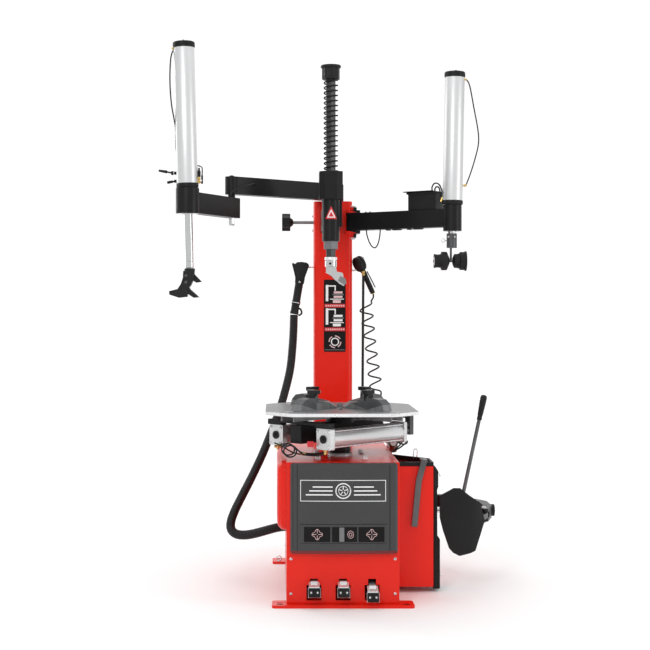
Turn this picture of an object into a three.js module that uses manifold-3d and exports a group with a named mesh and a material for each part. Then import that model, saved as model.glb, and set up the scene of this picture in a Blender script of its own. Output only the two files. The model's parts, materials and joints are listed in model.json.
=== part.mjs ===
// Tire changer with a tilting tower, a sliding mount head, two assist arms and a side bead breaker.
// Millimetres, +Z up, X to the right, Y to the back. The origin is on the floor under the
// turntable's axis, on the underside of the floor frame's centre strap.
import * as THREE from 'three';
import { mergeVertices } from 'three/addons/utils/BufferGeometryUtils.js';
import Module from 'manifold-3d';

const wasm = await Module();
wasm.setup();

// ---------------------------------------------------------------- driving dimensions
const GAP = 0.3; // kept between solids that touch
const PLATE = 12; // floor frame plate thickness

const CABINET = { halfWidth: 231, front: -274, back: 560, bottom: 12, top: 589, wall: 4 };
const FRONT_PLANE = -276;
const FEET = { halfLength: 290, front: [-311, -217], rear: [593, 687] };
const FEET_MIDDLES = [-264, 640];
const COVER = { left: -215, right: 223, bottom: 219, top: 588, depth: 22, corner: 11 };
const SIDE_BOX = { outline: [[232, -20], [401, -20], [401, 120], [232, 300]], bottom: 25, top: 542 };
const TRAY_TOP = 560;

const PEDAL_X = [-119, 0, 119];
const PEDAL_PIVOT = { y: -150, z: 97 };
const PEDAL_NAMES = ['clamp_pedal', 'breaker_pedal', 'rotation_pedal'];

const TABLE = { top: 792, thickness: 14, half: 318, flat: 213 };
const SLOT = { inner: 75, outer: 330, halfWidth: 15 };
const JAW = { claw: 163, rampTop: 35, archTop: 52, clawTop: 83, neck: 28 };
const CLAMP_CYLINDER = { offset: 137, from: -250, to: 240, z: 683, bore: 39 };

const TOWER = { halfWidth: 92, front: 620, back: 780, bottom: 430, top: 1730 };
const TILT = { y: 700, z: 500 };
const PIN = 12; // radius of the tilt pin and of the breaker pin
const LOCK = { y: 660, z: 1631 };
const ARM = { left: -60, right: 15, bottom: 1579, top: 1681, front: 236, back: 900 };
const SHAFT = { x: -30, y: 190, flats: 41 };
const SPRING = { bottom: 1826.3, turns: 18, pitch: 22.4, mean: 30.2, wire: 3.3 };

const LEFT = { pivot: [30, 640], elbow: [-474, 261], cylinder: [-650, -69], lean: 1.5 };
const RIGHT = { pivot: [91, 560], cylinder: [522, 271], lean: 1.1 };
const ROLLER = { left: 439, right: 583, z: 1432 };
const BREAKER = { pivot: [430, 560], hinge: [640, 118], z: 312 };

const COLOURS = {
  red: [0xd8200f, 0.35, 0.1],
  black: [0x151515, 0.5, 0.1],
  grey: [0x4a4a4a, 0.5, 0.2],
  steel: [0x8c8f92, 0.35, 0.9],
  chrome: [0xe4e6e8, 0.12, 1],
  aluminium: [0xc9cbcd, 0.3, 0.9],
  rubber: [0x1d1d1d, 0.9, 0],
};

// ---------------------------------------------------------------- shape helpers
/** Turns a closed three.js geometry into a manifold-3d solid. */
function solid(geometry) {
  const bare = geometry.clone();
  bare.deleteAttribute('normal');
  bare.deleteAttribute('uv');
  const merged = mergeVertices(bare, 1e-4);
  const index = merged.index.array;
  const kept = [];
  for (let i = 0; i < index.length; i += 3) {
    const [a, b, c] = [index[i], index[i + 1], index[i + 2]];
    if (a !== b && b !== c && c !== a) kept.push(a, b, c);
  }
  const mesh = new wasm.Mesh({
    numProp: 3,
    vertProperties: new Float32Array(merged.attributes.position.array),
    triVerts: new Uint32Array(kept),
  });
  return new wasm.Manifold(mesh);
}

/** Gives a solid's triangles back as a three.js geometry. */
function geometryOf(body) {
  const mesh = body.getMesh();
  const geometry = new THREE.BufferGeometry();
  geometry.setAttribute('position', new THREE.BufferAttribute(new Float32Array(mesh.vertProperties), 3));
  geometry.setIndex(new THREE.BufferAttribute(new Uint32Array(mesh.triVerts), 1));
  return geometry;
}

/** A box between two corners. */
function box(x0, x1, y0, y1, z0, z1) {
  const geometry = new THREE.BoxGeometry(x1 - x0, y1 - y0, z1 - z0);
  return solid(geometry.translate((x0 + x1) / 2, (y0 + y1) / 2, (z0 + z1) / 2));
}

/** A round bar or cone between two points. */
function rod(from, to, radius, sides = 16, endRadius = radius) {
  const a = new THREE.Vector3(...from);
  const b = new THREE.Vector3(...to);
  const along = b.clone().sub(a);
  const geometry = new THREE.CylinderGeometry(endRadius, radius, along.length(), sides);
  const turn = new THREE.Quaternion().setFromUnitVectors(new THREE.Vector3(0, 1, 0), along.normalize());
  geometry.applyQuaternion(turn);
  return solid(geometry.translate((a.x + b.x) / 2, (a.y + b.y) / 2, (a.z + b.z) / 2));
}

/** Upright round bar at x, y. */
const post = (x, y, z0, z1, radius, sides = 16) => rod([x, y, z0], [x, y, z1], radius, sides);

/** A three.js shape from a list of points. */
const shapeOf = (outline) => new THREE.Shape(outline.map(([u, v]) => new THREE.Vector2(u, v)));

/** An outline or Shape in X and Y, raised from z0 to z1. */
function prismZ(outline, z0, z1, curveSegments = 3) {
  const shape = outline instanceof THREE.Shape ? outline : shapeOf(outline);
  const options = { depth: z1 - z0, bevelEnabled: false, curveSegments };
  return solid(new THREE.ExtrudeGeometry(shape, options).translate(0, 0, z0));
}

/** An outline or Shape in Y and Z, drawn out from x0 to x1. */
function prismX(outline, x0, x1, curveSegments = 6) {
  const shape = outline instanceof THREE.Shape ? outline : shapeOf(outline);
  const options = { depth: x1 - x0, bevelEnabled: false, curveSegments };
  const geometry = new THREE.ExtrudeGeometry(shape, options);
  geometry.applyMatrix4(new THREE.Matrix4().set(0, 0, 1, x0, 1, 0, 0, 0, 0, 1, 0, 0, 0, 0, 0, 1));
  return solid(geometry);
}

/** An outline or Shape in X and Z, drawn out from y0 to y1. */
function prismY(outline, y0, y1, curveSegments = 6) {
  const shape = outline instanceof THREE.Shape ? outline : shapeOf(outline);
  const options = { depth: y1 - y0, bevelEnabled: false, curveSegments };
  const geometry = new THREE.ExtrudeGeometry(shape, options);
  geometry.applyMatrix4(new THREE.Matrix4().set(1, 0, 0, 0, 0, 0, -1, y1, 0, 1, 0, 0, 0, 0, 0, 1));
  return solid(geometry);
}

/** A turned piece round the upright line at x, y: a profile of [radius, z] that starts and ends on it. */
function turned(profile, x = 0, y = 0, sides = 20) {
  const points = profile.map(([r, z]) => new THREE.Vector2(r, z));
  const geometry = new THREE.LatheGeometry(points, sides);
  return solid(geometry.rotateX(Math.PI / 2).translate(x, y, 0));
}

/** A round tube or bar along a smooth curve through points. */
function tube(points, radius, steps, sides = 8) {
  const curve = new THREE.CatmullRomCurve3(points.map((p) => new THREE.Vector3(...p)), false, 'centripetal');
  return solid(tubeGeometry(curve, radius, steps, sides));
}

/** Closed tube round a curve, with flat ends. */
function tubeGeometry(curve, radius, steps, sides) {
  const section = new THREE.Shape();
  for (let i = 0; i < sides; i += 1) {
    const angle = (i * 2 * Math.PI) / sides;
    const [u, v] = [radius * Math.cos(angle), radius * Math.sin(angle)];
    if (i === 0) section.moveTo(u, v);
    else section.lineTo(u, v);
  }
  return new THREE.ExtrudeGeometry(section, { steps, extrudePath: curve, bevelEnabled: false });
}

/** A regular polygon with its flats apart by `flats`, turned by `turn` degrees. */
function polygon(sides, flats, turn = 0, x = 0, y = 0) {
  const radius = flats / 2 / Math.cos(Math.PI / sides);
  return Array.from({ length: sides }, (_, i) => {
    const angle = THREE.MathUtils.degToRad(turn) + ((i + 0.5) * 2 * Math.PI) / sides;
    return [x + radius * Math.cos(angle), y + radius * Math.sin(angle)];
  });
}

/** A rectangle with round corners, as a Shape. */
function roundRect(u0, u1, v0, v1, r) {
  const shape = new THREE.Shape();
  shape.moveTo(u0 + r, v0);
  shape.lineTo(u1 - r, v0);
  shape.absarc(u1 - r, v0 + r, r, -Math.PI / 2, 0);
  shape.lineTo(u1, v1 - r);
  shape.absarc(u1 - r, v1 - r, r, 0, Math.PI / 2);
  shape.lineTo(u0 + r, v1);
  shape.absarc(u0 + r, v1 - r, r, Math.PI / 2, Math.PI);
  shape.lineTo(u0, v0 + r);
  shape.absarc(u0 + r, v0 + r, r, Math.PI, 1.5 * Math.PI);
  return shape;
}

/** Joins solids into one body. */
const join = (...bodies) => bodies.reduce((a, b) => a.add(b));
/** Takes the later solids away from the first. */
const cut = (body, ...tools) => tools.reduce((a, b) => a.subtract(b), body);

const model = new THREE.Group();

/** Names a solid, gives it a finish and puts it in a group. */
function place(name, body, colour, group = model) {
  const geometry = body instanceof THREE.BufferGeometry ? body : geometryOf(body);
  const [color, roughness, metalness] = COLOURS[colour];
  const mesh = new THREE.Mesh(geometry, new THREE.MeshStandardMaterial({ color, roughness, metalness }));
  mesh.name = name;
  group.add(mesh);
  return mesh;
}

/** The outline of a bar of constant width along a bent line. */
function ribbon(points, halfWidth) {
  const offsets = points.map((p, i) => {
    const before = points[Math.max(i - 1, 0)];
    const after = points[Math.min(i + 1, points.length - 1)];
    const unit = (a, b) => {
      const length = Math.hypot(b[0] - a[0], b[1] - a[1]) || 1;
      return [(b[0] - a[0]) / length, (b[1] - a[1]) / length];
    };
    const into = i > 0 ? unit(before, p) : unit(p, after);
    const out = i < points.length - 1 ? unit(p, after) : into;
    const mid = unit([0, 0], [into[0] + out[0], into[1] + out[1]]);
    const mitre = halfWidth / (mid[0] * into[0] + mid[1] * into[1]);
    return [-mid[1] * mitre, mid[0] * mitre];
  });
  const near = points.map((p, i) => [p[0] - offsets[i][0], p[1] - offsets[i][1]]);
  const far = points.map((p, i) => [p[0] + offsets[i][0], p[1] + offsets[i][1]]);
  return [...near, ...far.reverse()];
}

// ---------------------------------------------------------------- base and cabinet
/** Welded frame on the floor, with the ears and pin that the tower tilts on. */
function floorFrame() {
  const earOutline = [[612, PLATE - 2], [788, PLATE - 2], [752, 530], [735, 552], [665, 552], [648, 530]];
  const ears = [-1, 1].map((side) => {
    const [a, b] = [side * (TOWER.halfWidth + 1.5), side * (TOWER.halfWidth + 13.5)];
    return prismX(earOutline, Math.min(a, b), Math.max(a, b));
  });
  const reach = TOWER.halfWidth + 13;
  const pin = rod([-reach, TILT.y, TILT.z], [reach, TILT.y, TILT.z], PIN);
  return join(basePlate(), ...ears, pin, breakerBracket(), pedalBracket());
}

/** Plate of the base: two feet, side rails, centre strap, pedal tie and the plate under the tower. */
function basePlate() {
  const { halfLength: l, front: [f0, f1], rear: [r0, r1] } = FEET;
  const w = CABINET.halfWidth;
  const chamfer = 8;
  const y = BREAKER.pivot[1];
  const right = [
    [l - chamfer, f0], [l, f0 + chamfer], [l, f1 - chamfer], [l - chamfer, f1], [w, f1],
    [w, y - 45], [252, y - 45], [252, r0], [l - chamfer, r0], [l, r0 + chamfer],
    [l, r1 - chamfer], [l - chamfer, r1], [125, r1], [125, 800],
  ];
  const bracket = [[w, y - 45], [252, y - 45], [252, r0]];
  const left = right.filter((p) => !bracket.some((q) => q[0] === p[0] && q[1] === p[1]));
  left.splice(5, 0, [w, r0]);
  const outline = [...right.reverse(), ...left.map(([u, v]) => [-u, v])];
  const tie = [PEDAL_PIVOT.y - 20, PEDAL_PIVOT.y + 20];
  const windows = [-1, 1].flatMap((side) => {
    const [a, b] = [side * 115 - 75, side * 115 + 75];
    const [from, to] = [side * 258 - 12.5, side * 258 + 12.5];
    const slots = FEET_MIDDLES.map((v) => box(from, to, v - 6.5, v + 6.5, -5, PLATE + 5));
    return [box(a, b, f1 + 4, tie[0], -5, PLATE + 5), box(a, b, tie[1], r0 - 6, -5, PLATE + 5), ...slots];
  });
  return cut(prismZ(outline, 0, PLATE), ...windows);
}

/** Side plate with two ears and the upright pin that the bead breaker's arm turns on. */
function breakerBracket() {
  const [x, y] = BREAKER.pivot;
  const ear = roundRect(242, x + 36, y - 44, y + 44, 20);
  return join(
    box(240, 251, y - 43, y + 38, 5, BREAKER.z + 60),
    prismZ(ear, BREAKER.z - 58, BREAKER.z - 46),
    prismZ(ear, BREAKER.z + 46, BREAKER.z + 58),
    post(x, y, BREAKER.z - 50, BREAKER.z + 50, PIN),
  );
}

/** Two uprights and the rod that the pedals hinge on. */
function pedalBracket() {
  const reach = 158;
  const upright = (x) => box(x - 4, x + 4, PEDAL_PIVOT.y - 15, PEDAL_PIVOT.y + 15, PLATE - 2, 112);
  const ends = [-reach, reach].map((x) => [x, PEDAL_PIVOT.y, PEDAL_PIVOT.z]);
  return join(upright(-reach), upright(reach), rod(...ends, 5, 12));
}

/** Folded sheet cabinet, open below and at the front. */
function cabinetShell() {
  const { halfWidth: w, front, back, bottom, top, wall } = CABINET;
  return cut(
    box(-w, w, front + GAP, back, bottom + GAP, top),
    box(-w + wall, w - wall, front + wall, back - wall, bottom - 5, top - wall),
    box(-w + 26, w - 26, front - 5, front + 10, bottom - 5, top - 26),
    post(0, 0, top - 20, top + 5, 44.5),
    rod([w - 10, 250, BREAKER.z], [w + 5, 250, BREAKER.z], 16, 16),
  );
}

/** Screwed front sheet with a T slot for each pedal. */
function frontPanel() {
  const { halfWidth: w, front, bottom, top } = CABINET;
  const slots = PEDAL_X.flatMap((x) => [
    box(x - 30, x + 30, front - 20, front + 20, 25, 88),
    box(x - 16, x + 16, front - 20, front + 20, 80, 113),
  ]);
  return cut(box(-w, w, FRONT_PLANE, front, bottom + GAP, top), ...slots);
}

/** Bulged plastic cover with two upright grooves, hollow behind. */
function frontCover() {
  const { left, right, bottom, top, depth, corner } = COVER;
  const back = FRONT_PLANE - GAP;
  const middle = (left + right) / 2;
  const half = (right - left) / 2;
  const bulge = (offset) => {
    const shape = new THREE.Shape();
    const [l, r] = [left + offset, right - offset];
    const face = back - depth + 7 + offset;
    shape.moveTo(l, back + offset);
    shape.lineTo(l, face + 9);
    shape.lineTo(l + 9, face);
    shape.quadraticCurveTo(middle, face - 14, r - 9, face);
    shape.lineTo(r, face + 9);
    shape.lineTo(r, back + offset);
    return shape;
  };
  const shell = cut(prismZ(bulge(0), bottom, top, 14), prismZ(bulge(4), bottom + 5, top - 4, 14));
  const grooves = [-half + 27, half - 33].map((x) =>
    box(middle + x - 1.5, middle + x + 1.5, back - 40, back - depth + 6.5, bottom - 1, top + 1));
  const rounded = prismY(roundRect(left, right, bottom, top, corner), back - depth - 30, back + 5);
  return cut(shell, ...grooves).intersect(rounded);
}

/** Pressed side cover that bulges out, hollow behind. */
function leftSideCover() {
  const pillow = (inset) => {
    const shape = roundRect(-165 + inset, 445 - inset, 328 + inset, 549 - inset, 20);
    const options = { depth: 1, bevelThickness: 38, bevelSize: 38, bevelSegments: 3, curveSegments: 3 };
    const geometry = new THREE.ExtrudeGeometry(shape, options);
    geometry.applyMatrix4(new THREE.Matrix4().set(0, 0, 1, 0, 1, 0, 0, 0, 0, 1, 0, 0, 0, 0, 0, 1));
    return solid(geometry.translate(-CABINET.halfWidth - GAP - 1 + inset, 0, 0));
  };
  const outer = box(-300, -CABINET.halfWidth - GAP, -300, 600, 200, 650).intersect(pillow(0));
  return cut(outer, pillow(3.5));
}

/** Draws the side box's outline closer by a distance, or wider by a negative one. */
const inset = (outline, d) => {
  const [a, b, c, e] = outline;
  return [[a[0] + d, a[1] + d], [b[0] - d, b[1] + d], [c[0] - d, c[1] - 0.4 * d], [e[0] + d, e[1] - 2.1 * d]];
};

/** Sheet box on the right side, which carries the tool tray and the wheel rest. */
function sideBox() {
  const { outline, bottom, top } = SIDE_BOX;
  return cut(
    prismZ(outline, bottom, top),
    prismZ(inset(outline, 4), bottom + 4, top + 5),
    rod([225, 250, BREAKER.z], [330, 250, BREAKER.z], 16, 16),
  );
}

/** Open tray: a rim on the box's edge and a basin that hangs inside the box. */
function toolTray() {
  const { outline, top } = SIDE_BOX;
  return cut(
    join(prismZ(inset(outline, -1), top + GAP, TRAY_TOP), prismZ(inset(outline, 6), top - 60, top + 5)),
    prismZ(inset(outline, 9), top - 57, TRAY_TOP + 5),
  );
}

/** Two-step rubber rest that a wheel leans on while its bead is broken. */
function wheelRestPad() {
  const x = 401 + GAP;
  const steps = [[432, 12], [432, 226], [421, 240], [420, 438], [425, 450], [425, 518], [411, 540]];
  const profile = [[x, 12], ...steps, [x, 540]];
  return prismY(profile, 0, 120);
}

/** Flat steel lever that hangs over the tray's front rim. */
function tyreLever() {
  const blade = ribbon([[361, 571], [337, 481], [318, 285]], 12.5);
  return join(prismY(blade, -35, -25), box(347, 374, -35, 30, TRAY_TOP + GAP, TRAY_TOP + 11));
}

// ---------------------------------------------------------------- drive and air supply
const WORM = { y: 100, z: 440 };
const MOTOR = { y: 100, z: 200 };
const PULLEY = { large: 70, small: 35, from: 112, to: 137, bore: 10.9 };

/** Worm gearbox: housing, neck, flange ring on the cabinet's top, and the worm's shaft. */
function gearbox() {
  return cut(
    join(
      box(-90, 90, -90, 150, 392, 560),
      post(0, 0, 555, 601, 44),
      post(0, 0, CABINET.top + GAP, 601, 50),
      rod([85, WORM.y, WORM.z], [140, WORM.y, WORM.z], 10, 12),
    ),
    post(0, 0, 420, 610, 31.5),
  );
}

/** Motor below the gearbox, with its shaft. */
const driveMotor = () => join(
  rod([-130, MOTOR.y, MOTOR.z], [92, MOTOR.y, MOTOR.z], 75),
  rod([90, MOTOR.y, MOTOR.z], [140, MOTOR.y, MOTOR.z], 10, 12),
);

/** Pulley with two flanges on a shaft along X. */
function pulley(radius, y, z) {
  const { from, to, bore } = PULLEY;
  return cut(
    join(
      rod([from, y, z], [to, y, z], radius - 4, 20),
      rod([from, y, z], [from + 4, y, z], radius, 20),
      rod([to - 4, y, z], [to, y, z], radius, 20),
    ),
    rod([from - 5, y, z], [to + 5, y, z], bore, 12),
  );
}

/** Belt round both pulleys: the outline round two circles, less the same outline drawn closer. */
function driveBelt() {
  const loop = (large, small) => {
    const lean = Math.asin((large - small) / (WORM.z - MOTOR.z));
    const shape = new THREE.Shape();
    shape.absarc(WORM.y, WORM.z, large, -lean, Math.PI + lean);
    shape.absarc(MOTOR.y, MOTOR.z, small, Math.PI + lean, 2 * Math.PI - lean);
    return shape;
  };
  const [from, to] = [PULLEY.from + 4.5, PULLEY.to - 4.5];
  const [large, small] = [PULLEY.large - 3.5, PULLEY.small - 3.5];
  const outer = prismX(loop(large + 6, small + 6), from, to, 12);
  return cut(outer, prismX(loop(large, small), from - 1, to + 1, 12));
}

/** Air tank that inflates the tyre's bead. */
const airTank = () => join(
  rod([-160, 440, 130], [160, 440, 130], 85),
  rod([160, 440, 130], [190, 440, 130], 85, 16, 45),
  rod([-160, 440, 130], [-190, 440, 130], 85, 16, 45),
);

/** Air cylinder of the bead breaker, open at the rod's end. */
const breakerCylinder = () => cut(
  rod([-170, 250, BREAKER.z], [205, 250, BREAKER.z], 88),
  rod([-90, 250, BREAKER.z], [210, 250, BREAKER.z], 12.6, 16),
);

/** Filter with its bowl, regulator knob and bracket on the cabinet's right side. */
const filterRegulator = () => join(
  turned([[0, 560], [16, 560], [20, 570], [20, 600], [0, 600]], 260, 340, 16),
  box(236, 284, 322, 358, 598, 614),
  post(260, 340, 612, 640, 14, 16),
  box(CABINET.halfWidth + GAP, 246, 328, 352, 575, 611),
);

// ---------------------------------------------------------------- pedals
/** Bent steel lever with its pad plate, drawn round the hinge line. */
function pedal() {
  const arm = [[-12, -8], [12, -8], [12, 8], [-140, 8], [-146, 12], [-158, 12], [-160, 2], [-146, -6]];
  const plate = ribbon([[-146, 6], [-176, -8], [-190, -44]], 2.5);
  const pad = ribbon([[-180, -11], [-194, -46]], 4.5);
  return cut(
    join(prismX(arm, -14, 14), prismX(plate, -22, 22), prismX(pad, -25, 25)),
    rod([-20, 0, 0], [20, 0, 0], 5.4, 12),
  );
}

// ---------------------------------------------------------------- turntable, drawn with the jaw on +X
const DIAGONAL = Math.PI / 4;
const SLIDE = { bottom: 752, halfWidth: 30, from: 90, to: 250 };

/** Eight-sided plate with four slots and the rails that guide the jaws. */
function turntablePlate() {
  const { top, thickness, half, flat } = TABLE;
  const corners = [[flat, -half], [half, -flat], [half, flat], [flat, half]];
  const outline = [...corners, ...corners.map(([x, y]) => [-x, -y])];
  const under = top - thickness;
  const plate = prismZ(outline, under, top);
  const sides = [0, 1, 2, 3].map((i) => DIAGONAL + (i * Math.PI) / 2);
  const turn = (geometry, angle) => solid(geometry.rotateZ(angle));
  const bar = (x0, x1, y0, y1, z0, z1) =>
    new THREE.BoxGeometry(x1 - x0, y1 - y0, z1 - z0).translate((x0 + x1) / 2, (y0 + y1) / 2, (z0 + z1) / 2);
  const slots = sides.map((a) =>
    turn(bar(SLOT.inner, SLOT.outer, -SLOT.halfWidth, SLOT.halfWidth, under - 5, top + 5), a));
  const rails = sides.flatMap((a) => [-1, 1].map((side) =>
    turn(bar(105, 320, 35 * side - 4.3, 35 * side + 3.7, SLIDE.bottom, under + 1), a)));
  return cut(join(plate, ...rails), ...slots);
}

/** Spindle, hub and the box beam welded across it. */
function spindleHub() {
  const beam = new THREE.BoxGeometry(520, 62, 75).translate(-12, 0, 695.5).rotateZ(DIAGONAL);
  return join(
    post(0, 0, 440, 605, 30),
    post(0, 0, 601.5, 662, 46, 20),
    solid(beam),
    post(0, 0, 730, TABLE.top - TABLE.thickness - GAP, 60, 20),
  );
}

/** One jaw: slide under the plate, neck through the slot, ramp, arch and toothed claw. */
function jaw() {
  const { top, thickness } = TABLE;
  const { claw, rampTop, archTop, clawTop, neck } = JAW;
  const over = top + GAP;
  const ramp = [[38, over], [250, over], [250, top + 20], [150, top + rampTop], [80, top + 25], [40, top + 3]];
  const arch = [[172, over], [270, over], [262, top + 26], [240, top + 46], [205, top + archTop], [176, top + 48]];
  const { bottom, halfWidth, from, to } = SLIDE;
  return join(
    box(from, to, -halfWidth, halfWidth, bottom, top - thickness - GAP),
    box(110, 230, -neck / 2, neck / 2, top - thickness - 2, over + 1),
    prismY(ramp, -18, 18),
    prismY(arch, -26, 26),
    prismY([[148, top + 30], [178, top + 30], [176, top + clawTop - 8], [152, top + clawTop - 8]], -14, 14),
    clawHead(claw, top + clawTop),
  );
}

/** Mushroom head with four teeth that face the rim on each side. */
function clawHead(x, top) {
  const teeth = [-22, -8, 6, 20].map((y) => prismZ([[x - 22, y], [x - 14, y - 6], [x - 14, y + 6]], top - 13, top));
  return join(prismZ(roundRect(x - 15, x + 15, -30, 30, 10), top - 16, top, 3), ...teeth);
}

/** Air cylinder along X with square end caps. */
function clampCylinder() {
  const { from, to, bore } = CLAMP_CYLINDER;
  const cap = (x0, x1) => prismX(roundRect(-40, 40, -44, 44, 6), x0, x1, 2);
  return cut(
    join(cap(from, from + 26), rod([from + 20, 0, 0], [to - 10, 0, 0], bore, 20), cap(to - 20, to)),
    rod([-60, 0, 0], [to + 5, 0, 0], 13, 16),
  );
}

/** Plate that ties both cylinders to the front left jaw. */
function cylinderCarrier() {
  const seat = (side) => box(-262, -225, side * 137 - 38, side * 137 + 38, 727.4, 738);
  return join(box(-262, -225, -175, 175, 737, 750), seat(-1), seat(1));
}

/** Yoke with the two cylinder rods, tied to the rear right jaw. */
function rodFork() {
  const { offset, z } = CLAMP_CYLINDER;
  const leg = (side) => join(
    box(292, 316, side * offset - 14, side * offset + 14, z - 18, 750),
    rod([0, side * offset, z], [300, side * offset, z], 12, 16),
  );
  return join(box(252, 316, -26, 26, 737, 750), box(292, 316, -150, 150, 737, 750), leg(-1), leg(1));
}

// ---------------------------------------------------------------- tower
const LEFT_LINK = { bottom: 1731, top: 1811 };
const RIGHT_PIN = 12;

/** Upright column with windows for the arm, ears for the right arm and a pivot for the left one. */
function towerColumn() {
  const { halfWidth: w, front, back, bottom, top } = TOWER;
  const wall = 6;
  const [x, y] = RIGHT.pivot;
  const ear = roundRect(x - 33, x + 33, y - 32, front + 2, 14);
  return cut(
    join(
      cut(
        prismZ(roundRect(-w, w, front, back, 26), bottom, top, 4),
        prismZ(roundRect(-w + wall, w - wall, front + wall, back - wall, 20), bottom - 5, top - 10, 4),
      ),
      prismZ(ear, 1571, 1583, 3),
      prismZ(ear, 1669, 1681, 3),
      post(x, y, 1560, 1690, RIGHT_PIN, 16),
      prismZ(polygon(6, 34, 0, x, y), 1681, 1696),
      prismZ(polygon(6, 30, 0, x, y), 1552, 1571),
      post(...LEFT.pivot, top - 5, LEFT_LINK.top + 12, 16),
      post(...LEFT.pivot, LEFT_LINK.top + GAP + 0.2, LEFT_LINK.top + 12, 16),
      rod([-w + 2, 676, 1416], [-150, 676, 1416], 4, 8),
      rod([w - 2, 650, 1400], [w + 20, 650, 1400], 4, 8),
    ),
    box(ARM.left - 0.5, ARM.right + 0.5, front - 5, back + 5, ARM.bottom - 0.5, ARM.top + 0.5),
    rod([-w - 10, TILT.y, TILT.z], [w + 10, TILT.y, TILT.z], PIN + 0.5),
    rod([-w - 10, LOCK.y, LOCK.z], [-w + 10, LOCK.y, LOCK.z], 8.5, 16),
  );
}

/** Star knob with seven lobes on its threaded stud. */
function lockKnob() {
  const star = Array.from({ length: 35 }, (_, i) => {
    const angle = (i * 2 * Math.PI) / 35;
    const radius = 39.5 + 4 * Math.cos(7 * angle);
    return [LOCK.y + radius * Math.cos(angle), LOCK.z + radius * Math.sin(angle)];
  });
  return join(
    prismX(star, -245, -205),
    rod([-206, LOCK.y, LOCK.z], [-192, LOCK.y, LOCK.z], 24, 20, 14),
    rod([-200, LOCK.y, LOCK.z], [ARM.left - 1, LOCK.y, LOCK.z], 8, 16),
  );
}

/** Square tube that slides through the tower's head and carries the shaft. */
const horizontalArm = () => cut(
  box(ARM.left, ARM.right, ARM.front, ARM.back, ARM.bottom, ARM.top),
  box(ARM.left + 6, ARM.right - 6, ARM.front + 8, ARM.back + 5, ARM.bottom + 6, ARM.top - 6),
);

/** Guide for the hexagonal shaft: top box, round guard, hexagonal collar and the block to the arm. */
function shaftGuide() {
  const { x, y, flats } = SHAFT;
  const head = [[-52, -30], [-26, -52], [26, -52], [52, -30], [52, 45], [-52, 45]].map(([u, v]) => [x + u, y + v]);
  return cut(
    join(
      prismZ(head, 1702, 1826),
      post(x, y, 1516, 1704, 39),
      prismZ(polygon(6, 61, 0, x, y), 1481, 1520),
      box(ARM.left - 6, ARM.right + 6, y + 20, ARM.front - GAP, 1583, 1700),
    ),
    prismZ(polygon(6, flats + 1, 0, x, y), 1470, 1840),
  );
}

/** Hexagonal shaft with its ring and the collar that holds the head. */
const hexShaft = () => join(
  prismZ(polygon(6, SHAFT.flats, 0, SHAFT.x, SHAFT.y), 1420, 2236),
  post(SHAFT.x, SHAFT.y, 1434, 1445, 27),
  post(SHAFT.x, SHAFT.y, 1403, 1431, 25.5),
);

/** Fluted cap over the top of the shaft. */
function shaftCap() {
  const { x, y } = SHAFT;
  const flutes = Array.from({ length: 32 }, (_, i) => {
    const angle = (i * 2 * Math.PI) / 32;
    const radius = i % 4 < 2 ? 39.5 : 37;
    return [x + radius * Math.cos(angle), y + radius * Math.sin(angle)];
  });
  const rim = turned([[0, 2284], [43, 2287], [46, 2292], [44, 2299], [0, 2299]], x, y);
  return join(prismZ(flutes, 2236 + GAP, 2288), rim);
}

/** Return spring coiled round the shaft between the guide and the cap. */
function shaftSpring() {
  const { bottom, turns, pitch, mean, wire } = SPRING;
  class Helix extends THREE.Curve {
    getPoint(t, target = new THREE.Vector3()) {
      const angle = t * turns * 2 * Math.PI;
      const z = bottom + wire + GAP + t * turns * pitch;
      return target.set(SHAFT.x + mean * Math.cos(angle), SHAFT.y + mean * Math.sin(angle), z);
    }
  }
  return solid(tubeGeometry(new Helix(), wire, turns * 8, 4));
}

/** Mount and demount head: a hooked duck bill with a flared shoe. */
function mountHead() {
  const { x, y } = SHAFT;
  const bill = [
    [-22, 1402.7], [22, 1402.7], [26, 1382], [52, 1376], [58, 1345], [66, 1328], [56, 1318],
    [36, 1330], [18, 1346], [0, 1364], [-22, 1376],
  ].map(([u, v]) => [x + u, v]);
  const shoe = [[30, 1340], [58, 1322], [68, 1330], [62, 1352], [40, 1362]].map(([u, v]) => [x + u, v]);
  return join(prismY(bill, y - 16, y + 16), prismY(shoe, y - 42, y + 42));
}

// ---------------------------------------------------------------- assist arms, drawn from the pivot along +X
const distance = (a, b) => Math.hypot(b[0] - a[0], b[1] - a[1]);
const bearing = (a, b) => Math.atan2(b[1] - a[1], b[0] - a[0]);

/** Square arm between two upright bores. */
function leftInnerArm() {
  const { bottom, top } = LEFT_LINK;
  const length = distance(LEFT.pivot, LEFT.elbow);
  return cut(
    join(
      box(0, length, -27, 27, bottom, top),
      post(0, 0, bottom, top, 20),
      post(length, 0, bottom, top, 30),
    ),
    post(0, 0, bottom - 5, top + 5, 16.5),
    post(length, 0, bottom - 5, top + 5, 10.5, 16),
  );
}

/** Lower arm with its elbow pin, nut and the sleeve below the cylinder. */
function leftOuterArm() {
  const length = distance(LEFT.elbow, LEFT.cylinder);
  const top = LEFT_LINK.bottom - 16;
  return cut(
    join(
      box(-30, length, -28, 28, 1625, top),
      post(0, 0, top - 5, LEFT_LINK.bottom - GAP, 16),
      post(0, 0, 1600, LEFT_LINK.top + 6, 10, 16),
      prismZ(polygon(6, 26), 1598, 1625),
      post(length, 0, 1620, 1730, 50, 20),
    ),
    post(length, 0, 1610, 1740, 25),
  );
}

/** A point on a leaning upright axis at a height. */
function onAxis([x, y], lean, z, z0) {
  const slope = Math.tan(THREE.MathUtils.degToRad(lean));
  return [x + slope * (z - z0), y, z];
}

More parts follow.
